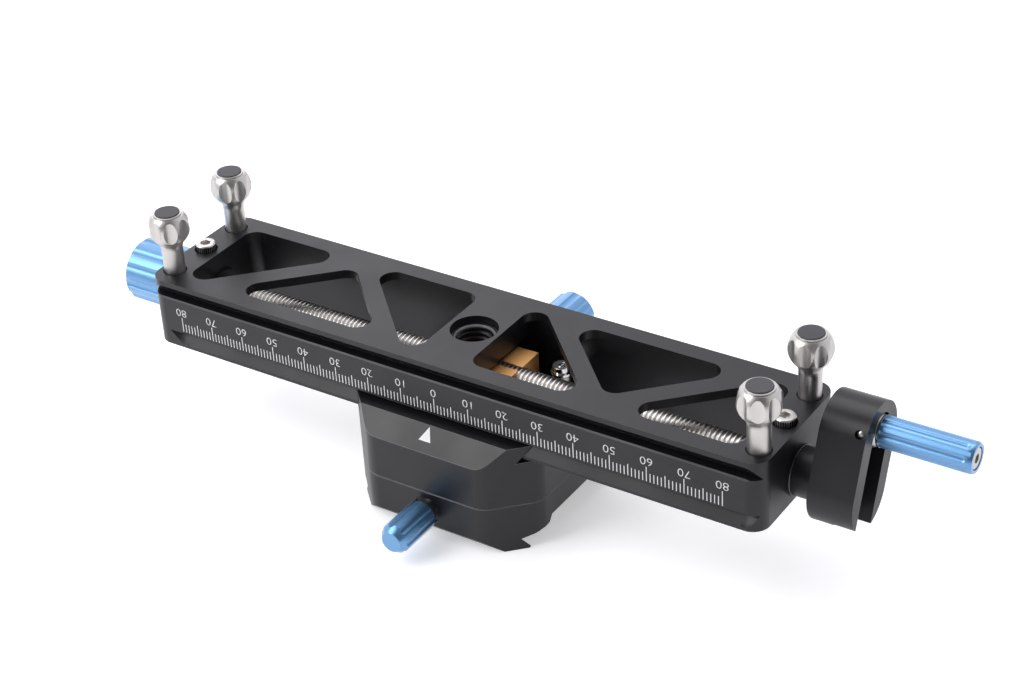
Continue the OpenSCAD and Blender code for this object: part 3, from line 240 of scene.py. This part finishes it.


# The second colour of each finish is the painted highlight on its broken edges
BLACK = finish("black_anodised_finish", (0.007, 0.007, 0.0085), (0.15, 0.15, 0.16), 0, 0.38,
               grain=5200, bump=0.2, specular=0.4, amount=0.8)
BLUE = finish("blue_anodised_finish", (0.11, 0.29, 0.54), (0.32, 0.57, 0.82), 0.85, 0.36,
              grain=3000, bump=0.08, shift=0.05, mottle=0.05, coat=1)
STEEL = finish("turned_steel_finish", (0.54, 0.52, 0.5), (0.75, 0.74, 0.72), 1.0, 0.37,
               grain=2600, bump=0.12, mottle=0.05)
# Steel painted dark; on the clamp bush and the thrust washers this darkness is painted shade
STEEL_PAINTED_DARK = finish("steel_painted_dark_finish", (0.03, 0.03, 0.03), (0.45, 0.44, 0.42), 0.8, 0.4,
                    grain=2600, bump=0.1, mottle=0.1)
CHROME = finish("bright_steel_finish", (0.7, 0.7, 0.7), (0.85, 0.85, 0.85), 1.0, 0.16,
                grain=2600, bump=0.04, mottle=0.05)
BRASS = finish("machined_brass_finish", (0.9, 0.48, 0.18), (0.95, 0.7, 0.4), 1.0, 0.4,
               grain=2400, stretch=(0.3, 1, 1), bump=0.12, mottle=0.1)
RUBBER = finish("pad_rubber_finish", (0.05, 0.05, 0.055), (0.08, 0.08, 0.08), 0.0, 0.6,
                grain=1800, bump=0.5, specular=0.5)
GLIDE = finish("glide_plastic_finish", (0.7, 0.69, 0.64), (0.8, 0.79, 0.75), 0.0, 0.45,
               mottle=0.05)
PRINT = finish("white_print_finish", (0.78, 0.78, 0.77), (0.85, 0.85, 0.85), 0.0, 0.55,
               grain=2500, bump=0.2, mottle=0.05)
FINISH_OF_SLOT = {"black_anodised": BLACK, "blue_anodised": BLUE, "steel": STEEL,
                  "brass": BRASS, "rubber": RUBBER, "glide_plastic": GLIDE}
# Nodes whose finish differs from the others in their slot. The clamp bush and the thrust washers
# are steel painted dark: painted shade of the bush's recess and of the dark surroundings that the
# washers mirror.
FINISH_OF_NODE = {"clamp_bush": STEEL_PAINTED_DARK, "thrust_washers": STEEL_PAINTED_DARK,
                  "screw_bushes": STEEL_PAINTED_DARK, "bracket_screws": CHROME,
                  "bracket_washers": CHROME, "handle_ring": CHROME}


def finish_of(node):
    return FINISH_OF_NODE.get(node, FINISH_OF_SLOT[SLOT_OF[node]])


# Mesh helpers

def in_place(origin, axes=UPRIGHT):
    """Turns local X, Y and Z to the given world axes, at a point in millimetres."""
    turn = Matrix(axes).transposed().to_4x4()
    turn.translation = Vector(origin) * MM
    return turn


def read_form(mesh):
    form = bmesh.new()
    form.from_mesh(mesh)
    return form


def write_form(form, mesh):
    form.to_mesh(mesh)
    form.free()
    return mesh


def face_outward(form):
    bmesh.ops.recalc_face_normals(form, faces=form.faces)


# Shapes that repeat or follow a rule

def thread_tree():
    """A helical thread along Z from its radius, depth, pitch and length."""
    tree = bpy.data.node_groups.new("helical_thread", "GeometryNodeTree")
    sockets(tree, "INPUT", [("Radius", "Float", 0.004), ("Depth", "Float", 0.0006),
                            ("Pitch", "Float", 0.00125), ("Length", "Float", 0.1),
                            ("Runout", "Float", 0.0005), ("Sides", "Int", 32),
                            ("Finish", "Material")])
    sockets(tree, "OUTPUT", [("Thread", "Geometry")])
    given, out = add(tree, "NodeGroupInput").outputs, add(tree, "NodeGroupOutput")
    turns = maths(tree, "CEIL", maths(tree, "DIVIDE", given["Length"], given["Pitch"]))
    rows = maths(tree, "MULTIPLY_ADD", turns, 4, 9)
    grid = add(tree, "GeometryNodeMeshGrid", {
        "Size X": 1, "Size Y": 1, "Vertices X": rows,
        "Vertices Y": maths(tree, "ADD", given["Sides"], 1)})
    position = add(tree, "GeometryNodeInputPosition").outputs[0]
    place = add(tree, "ShaderNodeSeparateXYZ", {0: position})
    row = maths(tree, "ROUND", maths(tree, "MULTIPLY", maths(tree, "ADD", place.outputs[0], 0.5),
                                     maths(tree, "SUBTRACT", rows, 1)))
    turn = maths(tree, "ADD", place.outputs[1], 0.5)
    steps = maths(tree, "SUBTRACT", maths(tree, "MULTIPLY_ADD", row, 0.25, turn), 1)
    height = maths(tree, "MINIMUM", maths(tree, "MAXIMUM", maths(tree, "MULTIPLY", steps,
                   given["Pitch"]), 0), given["Length"])
    from_end = maths(tree, "MINIMUM", height, maths(tree, "SUBTRACT", given["Length"], height))
    faded = maths(tree, "SUBTRACT", 1, maths(tree, "DIVIDE", from_end, given["Runout"]))
    root = maths(tree, "GREATER_THAN", maths(tree, "FLOORED_MODULO", row, 4), 1.5)
    cut = maths(tree, "MULTIPLY", maths(tree, "MAXIMUM", root, faded), given["Depth"])
    radius = maths(tree, "SUBTRACT", given["Radius"], cut)
    angle = maths(tree, "MULTIPLY", turn, 2 * math.pi)
    point = add(tree, "ShaderNodeCombineXYZ", {
        0: maths(tree, "MULTIPLY", radius, maths(tree, "COSINE", angle)),
        1: maths(tree, "MULTIPLY", radius, maths(tree, "SINE", angle)), 2: height})
    bent = add(tree, "GeometryNodeSetPosition", {"Geometry": grid.outputs["Mesh"],
                                                 "Position": point.outputs[0]})
    merged = add(tree, "GeometryNodeMergeByDistance", {"Geometry": bent.outputs[0],
                                                       "Distance": 0.0005 * MM})
    real = add(tree, "GeometryNodeRealizeInstances", {"Geometry": merged.outputs[0]})
    painted = add(tree, "GeometryNodeSetMaterial", {"Geometry": real.outputs[0],
                                                    "Material": given["Finish"]})
    tree.links.new(painted.outputs[0], out.inputs["Thread"])
    return tree


def marks_tree():
    """A row of scale marks along X, longer at every fifth and every tenth mark."""
    tree = bpy.data.node_groups.new("scale_marks", "GeometryNodeTree")
    sockets(tree, "INPUT", [("Count", "Int", 161), ("Pitch", "Float", 0.001),
                            ("Short", "Float", 0.0024), ("Middle", "Float", 0.0032),
                            ("Long", "Float", 0.0041), ("Width", "Float", 0.00028),
                            ("Height", "Float", 0.00003), ("Finish", "Material")])
    sockets(tree, "OUTPUT", [("Marks", "Geometry")])
    given, out = add(tree, "NodeGroupInput").outputs, add(tree, "NodeGroupOutput")
    half = maths(tree, "MULTIPLY", maths(tree, "SUBTRACT", given["Count"], 1), -0.5)
    start = add(tree, "ShaderNodeCombineXYZ", {0: maths(tree, "MULTIPLY", half, given["Pitch"])})
    step = add(tree, "ShaderNodeCombineXYZ", {0: given["Pitch"]})
    line = add(tree, "GeometryNodeMeshLine", {"Count": given["Count"],
                                              "Start Location": start.outputs[0],
                                              "Offset": step.outputs[0]})
    index = add(tree, "GeometryNodeInputIndex").outputs[0]
    fifth = maths(tree, "LESS_THAN", maths(tree, "FLOORED_MODULO", index, 5), 0.5)
    tenth = maths(tree, "LESS_THAN", maths(tree, "FLOORED_MODULO", index, 10), 0.5)
    rise = maths(tree, "MULTIPLY_ADD", fifth, maths(tree, "SUBTRACT", given["Middle"],
                 given["Short"]), given["Short"])
    rise = maths(tree, "MULTIPLY_ADD", tenth, maths(tree, "SUBTRACT", given["Long"],
                 given["Middle"]), rise)
    size = add(tree, "ShaderNodeCombineXYZ", {0: given["Width"], 1: rise, 2: given["Height"]})
    block = add(tree, "GeometryNodeMeshCube", {"Size": (1, 1, 1)})
    stood = add(tree, "GeometryNodeTransform", {"Geometry": block.outputs["Mesh"],
                                                "Translation": (0, 0.5, 0.5)})
    placed = add(tree, "GeometryNodeInstanceOnPoints", {
        "Points": line.outputs["Mesh"], "Instance": stood.outputs[0], "Scale": size.outputs[0]})
    real = add(tree, "GeometryNodeRealizeInstances", {"Geometry": placed.outputs[0]})
    painted = add(tree, "GeometryNodeSetMaterial", {"Geometry": real.outputs[0],
                                                    "Material": given["Finish"]})
    tree.links.new(painted.outputs[0], out.inputs["Marks"])
    return tree


def knurl_tree():
    """A ring of fine ridges around Z from z = 0 to its length."""
    tree = bpy.data.node_groups.new("knurled_ring", "GeometryNodeTree")
    sockets(tree, "INPUT", [("Count", "Int", 36), ("Radius", "Float", 0.0027),
                            ("Length", "Float", 0.002), ("Ridge", "Float", 0.0002),
                            ("Finish", "Material")])
    sockets(tree, "OUTPUT", [("Ring", "Geometry")])
    given, out = add(tree, "NodeGroupInput").outputs, add(tree, "NodeGroupOutput")
    ring = add(tree, "GeometryNodeMeshCircle", {"Vertices": given["Count"],
                                                "Radius": given["Radius"]})
    ridge = add(tree, "GeometryNodeMeshCylinder", {"Vertices": 6, "Radius": given["Ridge"],
                                                   "Depth": given["Length"]})
    lift = add(tree, "ShaderNodeCombineXYZ", {2: maths(tree, "MULTIPLY", given["Length"], 0.5)})
    raised = add(tree, "GeometryNodeTransform", {"Geometry": ridge.outputs["Mesh"],
                                                 "Translation": lift.outputs[0]})
    placed = add(tree, "GeometryNodeInstanceOnPoints", {"Points": ring.outputs[0],
                                                        "Instance": raised.outputs[0]})
    real = add(tree, "GeometryNodeRealizeInstances", {"Geometry": placed.outputs[0]})
    painted = add(tree, "GeometryNodeSetMaterial", {"Geometry": real.outputs[0],
                                                    "Material": given["Finish"]})
    tree.links.new(painted.outputs[0], out.inputs["Ring"])
    return tree


THREAD = thread_tree()
MARKS = marks_tree()
KNURL = knurl_tree()


def settle(obj, name):
    """The evaluated mesh of obj as a plain mesh, and obj removed."""
    bpy.context.view_layer.update()
    depsgraph = bpy.context.evaluated_depsgraph_get()
    mesh = bpy.data.meshes.new_from_object(obj.evaluated_get(depsgraph))
    mesh.name = name
    bpy.data.objects.remove(obj)
    return mesh


def grown(tree, name, **inputs):
    """A plain mesh from a geometry tree with these input values."""
    obj = bpy.data.objects.new(name, bpy.data.meshes.new(name))
    modifier = obj.modifiers.new("rule", "NODES")
    modifier.node_group = tree
    for item in tree.interface.items_tree:
        if item.in_out == "INPUT" and item.name in inputs:
            modifier[item.identifier] = inputs[item.name]
    bpy.context.scene.collection.objects.link(obj)
    return settle(obj, name)


def thread_mesh(length, radius, depth, pitch, sides, runout=0.5):
    """A closed steel thread along Z from z = 0, in millimetres."""
    mesh = grown(THREAD, "thread", Radius=radius * MM, Depth=depth * MM, Pitch=pitch * MM,
                 Length=length * MM, Runout=runout * MM, Sides=sides, Finish=STEEL)
    form = read_form(mesh)
    bmesh.ops.dissolve_degenerate(form, dist=0.0002 * MM, edges=form.edges)
    bmesh.ops.holes_fill(form, edges=[e for e in form.edges if e.is_boundary], sides=0)
    face_outward(form)
    return write_form(form, mesh)


def turned_mesh(name, outline, sides=LARGE_SIDES):
    """A turned form around Z. The outline is (radius, height) in mm, from axis to axis."""
    form = bmesh.new()
    rings = []
    for radius, height in outline:
        if radius == 0:
            rings.append([form.verts.new((0, 0, height * MM))])
        else:
            rings.append([form.verts.new((radius * MM * math.cos(2 * math.pi * k / sides),
                                          radius * MM * math.sin(2 * math.pi * k / sides),
                                          height * MM)) for k in range(sides)])
    for low, high in zip(rings, rings[1:]):
        for k in range(sides):
            after = (k + 1) % sides
            corners = [low[k % len(low)], low[after % len(low)],
                       high[after % len(high)], high[k % len(high)]]
            corners = [v for i, v in enumerate(corners) if v not in corners[:i]]
            form.faces.new(corners)
    face_outward(form)
    return write_form(form, bpy.data.meshes.new(name))


def shaft_outline(length, end_bevel):
    """Half the section of a plain end of the lead screw."""
    return [(0, 0), (SHAFT_R - SHAFT_BEVEL, 0), (SHAFT_R, SHAFT_BEVEL),
            (SHAFT_R, length - end_bevel), (SHAFT_R - end_bevel, length), (0, length)]


def joined(name, parts):
    """One mesh from (mesh, place) pairs."""
    form = bmesh.new()
    for mesh, place in parts:
        mesh.transform(place)
        form.from_mesh(mesh)
        bpy.data.meshes.remove(mesh)
    return write_form(form, bpy.data.meshes.new(name))


# Pieces

def smooth_by_angle(mesh, degrees):
    for face in mesh.polygons:
        face.use_smooth = True
    mesh.set_sharp_from_angle(angle=math.radians(degrees))


def new_piece(name, mesh, body, material, replaced=()):
    """A finished piece that rides on a body, in place of the replaced CAD nodes."""
    obj = bpy.data.objects.new(name, mesh)
    bpy.context.scene.collection.objects.link(obj)
    mesh.materials.clear()
    mesh.materials.append(material)
    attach(obj, body)
    if replaced:
        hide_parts(*replaced)


def merged_copy(node):
    """A copy of a CAD node's mesh without doubled points and needless edges."""
    mesh = frame["nodes"][node].data.copy()
    form = read_form(mesh)
    bmesh.ops.remove_doubles(form, verts=form.verts, dist=MERGE_GAP * MM)
    bmesh.ops.dissolve_limit(form, angle_limit=math.radians(FLAT_ANGLE), verts=form.verts,
                             edges=form.edges)
    return write_form(form, mesh)


def add_bevel(obj, name, width, limit, clamp):
    """A bevel whose faces get the second of the object's materials."""
    bevel = obj.modifiers.new(name, "BEVEL")
    bevel.width = width * MM
    bevel.segments = BEVEL_STEPS
    bevel.limit_method = limit
    bevel.angle_limit = math.radians(SHARP_ANGLE)
    bevel.use_clamp_overlap = clamp
    bevel.material = 1


def weigh_edges_at(mesh, height):
    """Bevel weight 1 on the sharp edges that lie level at a height in millimetres."""
    weights = mesh.attributes.new("bevel_weight_edge", "FLOAT", "EDGE")
    off = [abs(vert.co.z - height * MM) for vert in mesh.vertices]
    weights.data.foreach_set("value", [
        float(edge.use_edge_sharp and all(off[v] < 0.01 * MM for v in edge.vertices))
        for edge in mesh.edges])


def eased_mesh(mesh, name, width, wide=None):
    """The mesh with its sharp edges broken, and a rim attribute on the faces of those edges.

    Where wide gives a height and a width, the level edges at that height are broken first.
    The two materials only tell the broken edges' faces from the rest."""
    obj = bpy.data.objects.new(name + "_work", mesh)
    bpy.context.scene.collection.objects.link(obj)
    mesh.materials.clear()
    for material in (BLACK, PRINT):
        mesh.materials.append(material)
    smooth_by_angle(mesh, SHARP_ANGLE)
    if wide:
        weigh_edges_at(mesh, wide[0])
        add_bevel(obj, "level", wide[1], "WEIGHT", False)
    add_bevel(obj, "edges", width, "ANGLE", True)
    weighted = obj.modifiers.new("normals", "WEIGHTED_NORMAL")
    weighted.keep_sharp = True
    done = settle(obj, name)
    rim = done.attributes.new("rim", "FLOAT", "FACE")
    rim.data.foreach_set("value", [float(face.material_index == 1) for face in done.polygons])
    done.polygons.foreach_set("material_index", [0] * len(done.polygons))
    return done


# Bevel widths of the CAD nodes that are drawn with broken edges, in millimetres
EASED = {
    "rail_body": 0.28, "tripod_insert": 0.1, "crank_arm": 0.25, "carriage_body": 0.2,
    "guide_bar": 0.2, "clamp_body": 0.35, "clamp_jaw": 0.3, "left_knob": 0.15,
    "clamp_knob": 0.12, "lock_knob": 0.12, "handle_sleeve": 0.1, "handle_knuckle": 0.1,
    "drive_nut": 0.18, "nut_bracket": 0.12, "thrust_washers": 0.08, "bush_screws": 0.14,
    "guide_bar_screws": 0.14, "joining_screws": 0.14, "handle_screw": 0.1,
    "bracket_screws": 0.08, "glide_strips": 0.1, "foot_pad_1": 0.12, "foot_pad_2": 0.12,
    "foot_pad_3": 0.12, "foot_pad_4": 0.12}
# Height and width of the wide bevels that the light draws as bright lines, with the painted edge
# highlight on their faces
WIDE_BEVELS = {"tripod_insert": (-2, 0.5), "clamp_body": (-32.2, 0.35),
               "carriage_body": (-32.2, 0.15)}


def dress_cad_nodes():
    """Broken edges on the machined nodes, and a finish on every node."""
    for node, width in EASED.items():
        name = node + "_eased"
        mesh = eased_mesh(merged_copy(node), name, width, WIDE_BEVELS.get(node))
        new_piece(name, mesh, BODY_OF[node], finish_of(node), (node,))
    for node, obj in frame["nodes"].items():
        obj.data.materials.clear()
        obj.data.materials.append(finish_of(node))


def dress_lead_screw():
    """The lead screw: a thread between two plain shafts."""
    reach = 2 * (BUSH_FLANGE - THREAD_END_GAP)
    left = turned_mesh("left", shaft_outline(LEFT_SHAFT_LEN, LEFT_SHAFT_END_BEVEL))
    right = turned_mesh("right", shaft_outline(RIGHT_SHAFT_LEN, SHAFT_BEVEL))
    right_start = SCREW_RIGHT - RIGHT_SHAFT_LEN
    mesh = joined("lead_screw_thread", [
        (thread_mesh(reach, **LEAD_THREAD), in_place((-reach / 2, 0, SCREW_AXIS_Z), ALONG_X)),
        (left, in_place((SCREW_LEFT, 0, SCREW_AXIS_Z), ALONG_X)),
        (right, in_place((right_start, 0, SCREW_AXIS_Z), ALONG_X))])
    smooth_by_angle(mesh, THREAD_SHARP_ANGLE)
    new_piece("lead_screw_thread", mesh, "screw", STEEL, ("lead_screw",))


def foot_top(node):
    """The part of a foot screw that stands out of the rail, closed at the cut."""
    top = merged_copy(node)
    form = read_form(top)
    cut = bmesh.ops.bisect_plane(form, geom=form.verts[:] + form.edges[:] + form.faces[:],
                                 plane_co=(0, 0, FOOT_CUT_Z * MM), plane_no=(0, 0, 1),
                                 clear_inner=True)
    rim = [e for e in cut["geom_cut"] if isinstance(e, bmesh.types.BMEdge)]
    bmesh.ops.holes_fill(form, edges=rim, sides=0)
    face_outward(form)
    return eased_mesh(write_form(form, top), node + "_top", FOOT_BEVEL)


def dress_foot_screws():
    """The foot screws with a thread on the shank."""
    for foot, (x, y) in FOOT_PLACES.items():
        node = "foot_screw_" + foot
        top = foot_top(node)
        shank = thread_mesh(FOOT_SHANK_LEN, **FOOT_THREAD)
        smooth_by_angle(shank, THREAD_SHARP_ANGLE)
        mesh = joined(node + "_thread", [(top, Matrix()),
                                         (shank, in_place((x, y, FOOT_LOW_Z)))])
        new_piece(node + "_thread", mesh, BODY_OF[node], STEEL, (node,))


def dress_handle_pin():
    """The cross pin of the handle, with domed ends."""
    dome = [(0, 0), (PIN_R - 0.3, 0.08), (PIN_R, 0.35)]
    outline = dome + [(radius, PIN_LEN - rise) for radius, rise in reversed(dome)]
    lean = math.radians(CRANK_TILT)
    across = Vector((0, math.cos(lean), -math.sin(lean)))
    along = Vector((0, math.sin(lean), math.cos(lean)))
    start = Vector((CRANK_X, 0, SCREW_AXIS_Z)) + PIN_HIGH * along - PIN_LEN / 2 * across
    mesh = joined("handle_pin_domed", [
        (turned_mesh("pin", outline, SMALL_SIDES),
         in_place(start, ((1, 0, 0), -along, across)))])
    smooth_by_angle(mesh, PIN_SHARP_ANGLE)
    new_piece("handle_pin_domed", mesh, BODY_OF["handle_pin"], STEEL, ("handle_pin",))


def dress_clamp_screw():
    """The clamp screw: a thread behind a plain neck."""
    neck = [(0, 0), (NECK_R, 0), (NECK_R, NECK_LEN - NECK_BEVEL_LEN),
            (NECK_R - NECK_BEVEL_R, NECK_LEN), (0, NECK_LEN)]
    mesh = joined("clamp_screw_thread", [
        (thread_mesh(CLAMP_THREAD_LEN, **CLAMP_THREAD),
         in_place((CARRIAGE_X, CLAMP_THREAD_Y, CLAMP_AXIS_Z), ALONG_Y)),
        (turned_mesh("neck", neck, SMALL_SIDES),
         in_place((CARRIAGE_X, CLAMP_NECK_Y, CLAMP_AXIS_Z), ALONG_Y))])
    smooth_by_angle(mesh, THREAD_SHARP_ANGLE)
    new_piece("clamp_screw_thread", mesh, BODY_OF["clamp_screw"], STEEL, ("clamp_screw",))


def dress_tripod_hole():
    """The thread in the middle hole: a thin threaded lining."""
    mesh = grown(THREAD, "tripod_lining", Radius=TRIPOD_THREAD_R * MM,
                 Depth=TRIPOD_THREAD_DEPTH * MM, Pitch=TRIPOD_PITCH * MM,
                 Length=TRIPOD_LEN * MM, Runout=TRIPOD_RUNOUT * MM, Sides=LARGE_SIDES,
                 Finish=BLACK)
    obj = bpy.data.objects.new("tripod_lining_work", mesh)
    bpy.context.scene.collection.objects.link(obj)
    form = read_form(mesh)
    face_outward(form)
    write_form(form, mesh)
    wall = obj.modifiers.new("wall", "SOLIDIFY")
    wall.thickness = TRIPOD_WALL * MM
    wall.offset = 1
    mesh = settle(obj, "tripod_lining")
    mesh.transform(in_place((0, 0, TRIPOD_LOW_Z)))
    smooth_by_angle(mesh, THREAD_SHARP_ANGLE)
    new_piece("tripod_lining", mesh, "rail", BLACK)


def dress_heads():
    """Knurled rims on the heads of the socket screws."""
    rings = {"bush_screws": [((x, 0, BUSH_KNURL_Z), UPRIGHT, BUSH_KNURL_LEN)
                             for x in (-FOOT_X, FOOT_X)],
             "guide_bar_screws": [((CARRIAGE_X + x, BAR_HEAD_Y, BAR_HEAD_Z), ALONG_Y,
                                   BAR_KNURL_LEN) for x in (-BAR_HEAD_X, BAR_HEAD_X)]}
    for node, places in rings.items():
        mesh = joined(node + "_knurl", [
            (grown(KNURL, "ring", Count=KNURL_COUNT, Radius=KNURL_R * MM, Length=length * MM,
                   Ridge=KNURL_RIDGE * MM, Finish=STEEL_PAINTED_DARK), in_place(origin, axes))
            for origin, axes, length in places])
        new_piece(node + "_knurl", mesh, BODY_OF[node], STEEL_PAINTED_DARK)


# Print on the rail and the carriage

def on_front_face(x, z, sign=1):
    """A place on the scale face, upright with sign 1 and upside down with sign -1."""
    return in_place((x, FRONT_FACE_Y, z), ((sign, 0, 0), (0, 0, sign), (0, -1, 0)))


def number_mesh(text):
    """Digits centred on X, standing on Y = 0, with their true height."""
    curve = bpy.data.curves.new("number_" + text, "FONT")
    curve.body = text
    curve.size = 1
    curve.align_x = "CENTER"
    curve.resolution_u = 3
    curve.offset = DIGIT_THINNING
    obj = bpy.data.objects.new("number_" + text, curve)
    bpy.context.scene.collection.objects.link(obj)
    mesh = settle(obj, "number_" + text)
    xs, ys = zip(*[(v.co.x, v.co.y) for v in mesh.vertices])
    scale = DIGIT_H * MM / (max(ys) - min(ys))
    mesh.transform(Matrix.Translation((-(min(xs) + max(xs)) / 2, -min(ys), 0)))
    mesh.transform(Matrix.Diagonal((scale * DIGIT_STRETCH, scale, scale, 1)))
    form = read_form(mesh)
    bmesh.ops.remove_doubles(form, verts=form.verts, dist=0.001 * MM)
    raised = bmesh.ops.extrude_face_region(form, geom=form.faces[:])
    for vert in (v for v in raised["geom"] if isinstance(v, bmesh.types.BMVert)):
        vert.co.z += PRINT_T * MM
    face_outward(form)
    return write_form(form, mesh)


def print_scale():
    """The millimetre marks and the numbers, which are printed upside down above them."""
    marks = grown(MARKS, "scale_marks", Count=MARK_COUNT, Pitch=MARK_PITCH * MM,
                  Short=MARK_SHORT * MM, Middle=MARK_MIDDLE * MM, Long=MARK_LONG * MM,
                  Width=MARK_W * MM, Height=PRINT_T * MM, Finish=PRINT)
    marks.transform(on_front_face(0, SCALE_FOOT_Z))
    new_piece("scale_marks", marks, "rail", PRINT)
    top = SCALE_FOOT_Z + MARK_LONG + DIGIT_GAP + DIGIT_H
    numbers = joined("scale_numbers", [
        (number_mesh(str(abs(value))), on_front_face(value, top, -1))
        for value in range(-SCALE_END, SCALE_END + 1, NUMBER_STEP)])
    new_piece("scale_numbers", numbers, "rail", PRINT)


def print_pointer():
    """The triangle on the carriage's front slope that reads the scale."""
    form = bmesh.new()
    out = Vector((0, -1, 1)).normalized() * PRINT_T
    middle = CARRIAGE_X + POINTER_SHIFT
    corners = [Vector((middle, *POINTER_APEX_YZ)),
               Vector((middle - POINTER_HALF_W, *POINTER_BASE_YZ)),
               Vector((middle + POINTER_HALF_W, *POINTER_BASE_YZ))]
    low = [form.verts.new((c - out) * MM) for c in corners]
    high = [form.verts.new((c + out) * MM) for c in corners]
    form.faces.new(low)
    form.faces.new(high)
    for i in range(3):
        form.faces.new((low[i], low[(i + 1) % 3], high[(i + 1) % 3], high[i]))
    face_outward(form)
    mesh = write_form(form, bpy.data.meshes.new("pointer"))
    new_piece("pointer", mesh, "carriage", PRINT)


# Studio

FLOOR_HALF, FLOOR_GLOW = 3, 0.42
PLAIN_LIGHT = 0.5


def make_floor():
    """A white floor that glows for seen and mirrored rays, and still takes the shadow."""
    form = bmesh.new()
    bmesh.ops.create_grid(form, x_segments=1, y_segments=1, size=FLOOR_HALF)
    mesh = write_form(form, bpy.data.meshes.new("floor"))
    floor = bpy.data.objects.new("floor", mesh)
    floor.location = (0, 0, cad_bounds[0][2])
    bpy.context.scene.collection.objects.link(floor)
    material = bpy.data.materials.new("white_floor")
    material.use_nodes = True
    tree = material.node_tree
    shader = tree.nodes["Principled BSDF"]
    shader.inputs["Base Color"].default_value = (0.86, 0.86, 0.87, 1)
    shader.inputs["Roughness"].default_value = 0.7
    shader.inputs["Specular IOR Level"].default_value = 0.1
    path = add(tree, "ShaderNodeLightPath").outputs
    seen = maths(tree, "MAXIMUM", path["Is Camera Ray"], path["Is Glossy Ray"])
    seen = maths(tree, "MAXIMUM", seen, path["Is Transmission Ray"])
    shader.inputs["Emission Color"].default_value = (1, 1, 1, 1)
    tree.links.new(maths(tree, "MULTIPLY", seen, FLOOR_GLOW), shader.inputs["Emission Strength"])
    mesh.materials.append(material)


def make_world():
    """White for the camera, plain light for the rest, and a sweep that mirrored rays see:
    dark in front, bright behind and at the left."""
    world = bpy.data.worlds.new("studio")
    bpy.context.scene.world = world
    world.use_nodes = True
    tree = world.node_tree
    ground = tree.nodes["Background"]
    path = add(tree, "ShaderNodeLightPath").outputs
    seen = maths(tree, "MAXIMUM", path["Is Camera Ray"], path["Is Transmission Ray"])
    tint = add(tree, "ShaderNodeMix", {0: seen, 6: (0.93, 0.93, 1, 1), 7: (1, 1, 1, 1)},
               data_type="RGBA")
    tree.links.new(tint.outputs[2], ground.inputs["Color"])
    direction = add(tree, "ShaderNodeTexCoord").outputs["Generated"]
    way = add(tree, "ShaderNodeSeparateXYZ", {0: direction})
    sweep = add(tree, "ShaderNodeMapRange", {"Value": way.outputs[1], "From Min": -0.15,
                                             "From Max": 0.35, "To Min": 0.15, "To Max": 1.05})
    left = add(tree, "ShaderNodeMapRange", {"Value": way.outputs[0], "From Min": -0.4,
                                            "From Max": -0.8, "To Min": 0, "To Max": 0.85})
    both = maths(tree, "ADD", sweep.outputs[0], left.outputs[0])
    mirrored = maths(tree, "MULTIPLY", path["Is Glossy Ray"],
                     maths(tree, "SUBTRACT", both, PLAIN_LIGHT))
    strength = maths(tree, "MULTIPLY_ADD", seen, 1 - PLAIN_LIGHT,
                     maths(tree, "ADD", mirrored, PLAIN_LIGHT))
    tree.links.new(strength, ground.inputs["Strength"])


def softbox(name, place, aim, size, power):
    """An area lamp at a place in metres, turned to its aim."""
    lamp = bpy.data.lights.new(name, "AREA")
    lamp.shape = "RECTANGLE"
    lamp.size, lamp.size_y = size
    lamp.energy = power
    obj = bpy.data.objects.new(name, lamp)
    obj.location = place
    direction = Vector(aim) - Vector(place)
    obj.rotation_euler = direction.to_track_quat("-Z", "Y").to_euler()
    bpy.context.scene.collection.objects.link(obj)


make_camera()
dress_cad_nodes()
dress_lead_screw()
dress_foot_screws()
dress_handle_pin()
dress_clamp_screw()
dress_tripod_hole()
dress_heads()
print_scale()
print_pointer()
make_floor()
make_world()
softbox("top_box", (-0.15, 0.25, 0.75), (0, 0, 0), (0.7, 0.5), 2.6)
softbox("front_box", (-0.44, -0.52, 0.55), (0, -0.02, -0.01), (0.55, 0.6), 5)
softbox("rear_box", (-0.55, 0.6, 0.45), (-0.03, 0, 0), (0.4, 0.4), 0.3)
softbox("right_box", (0.75, -0.1, 0.3), (0, 0, 0), (0.35, 0.5), 0.3)
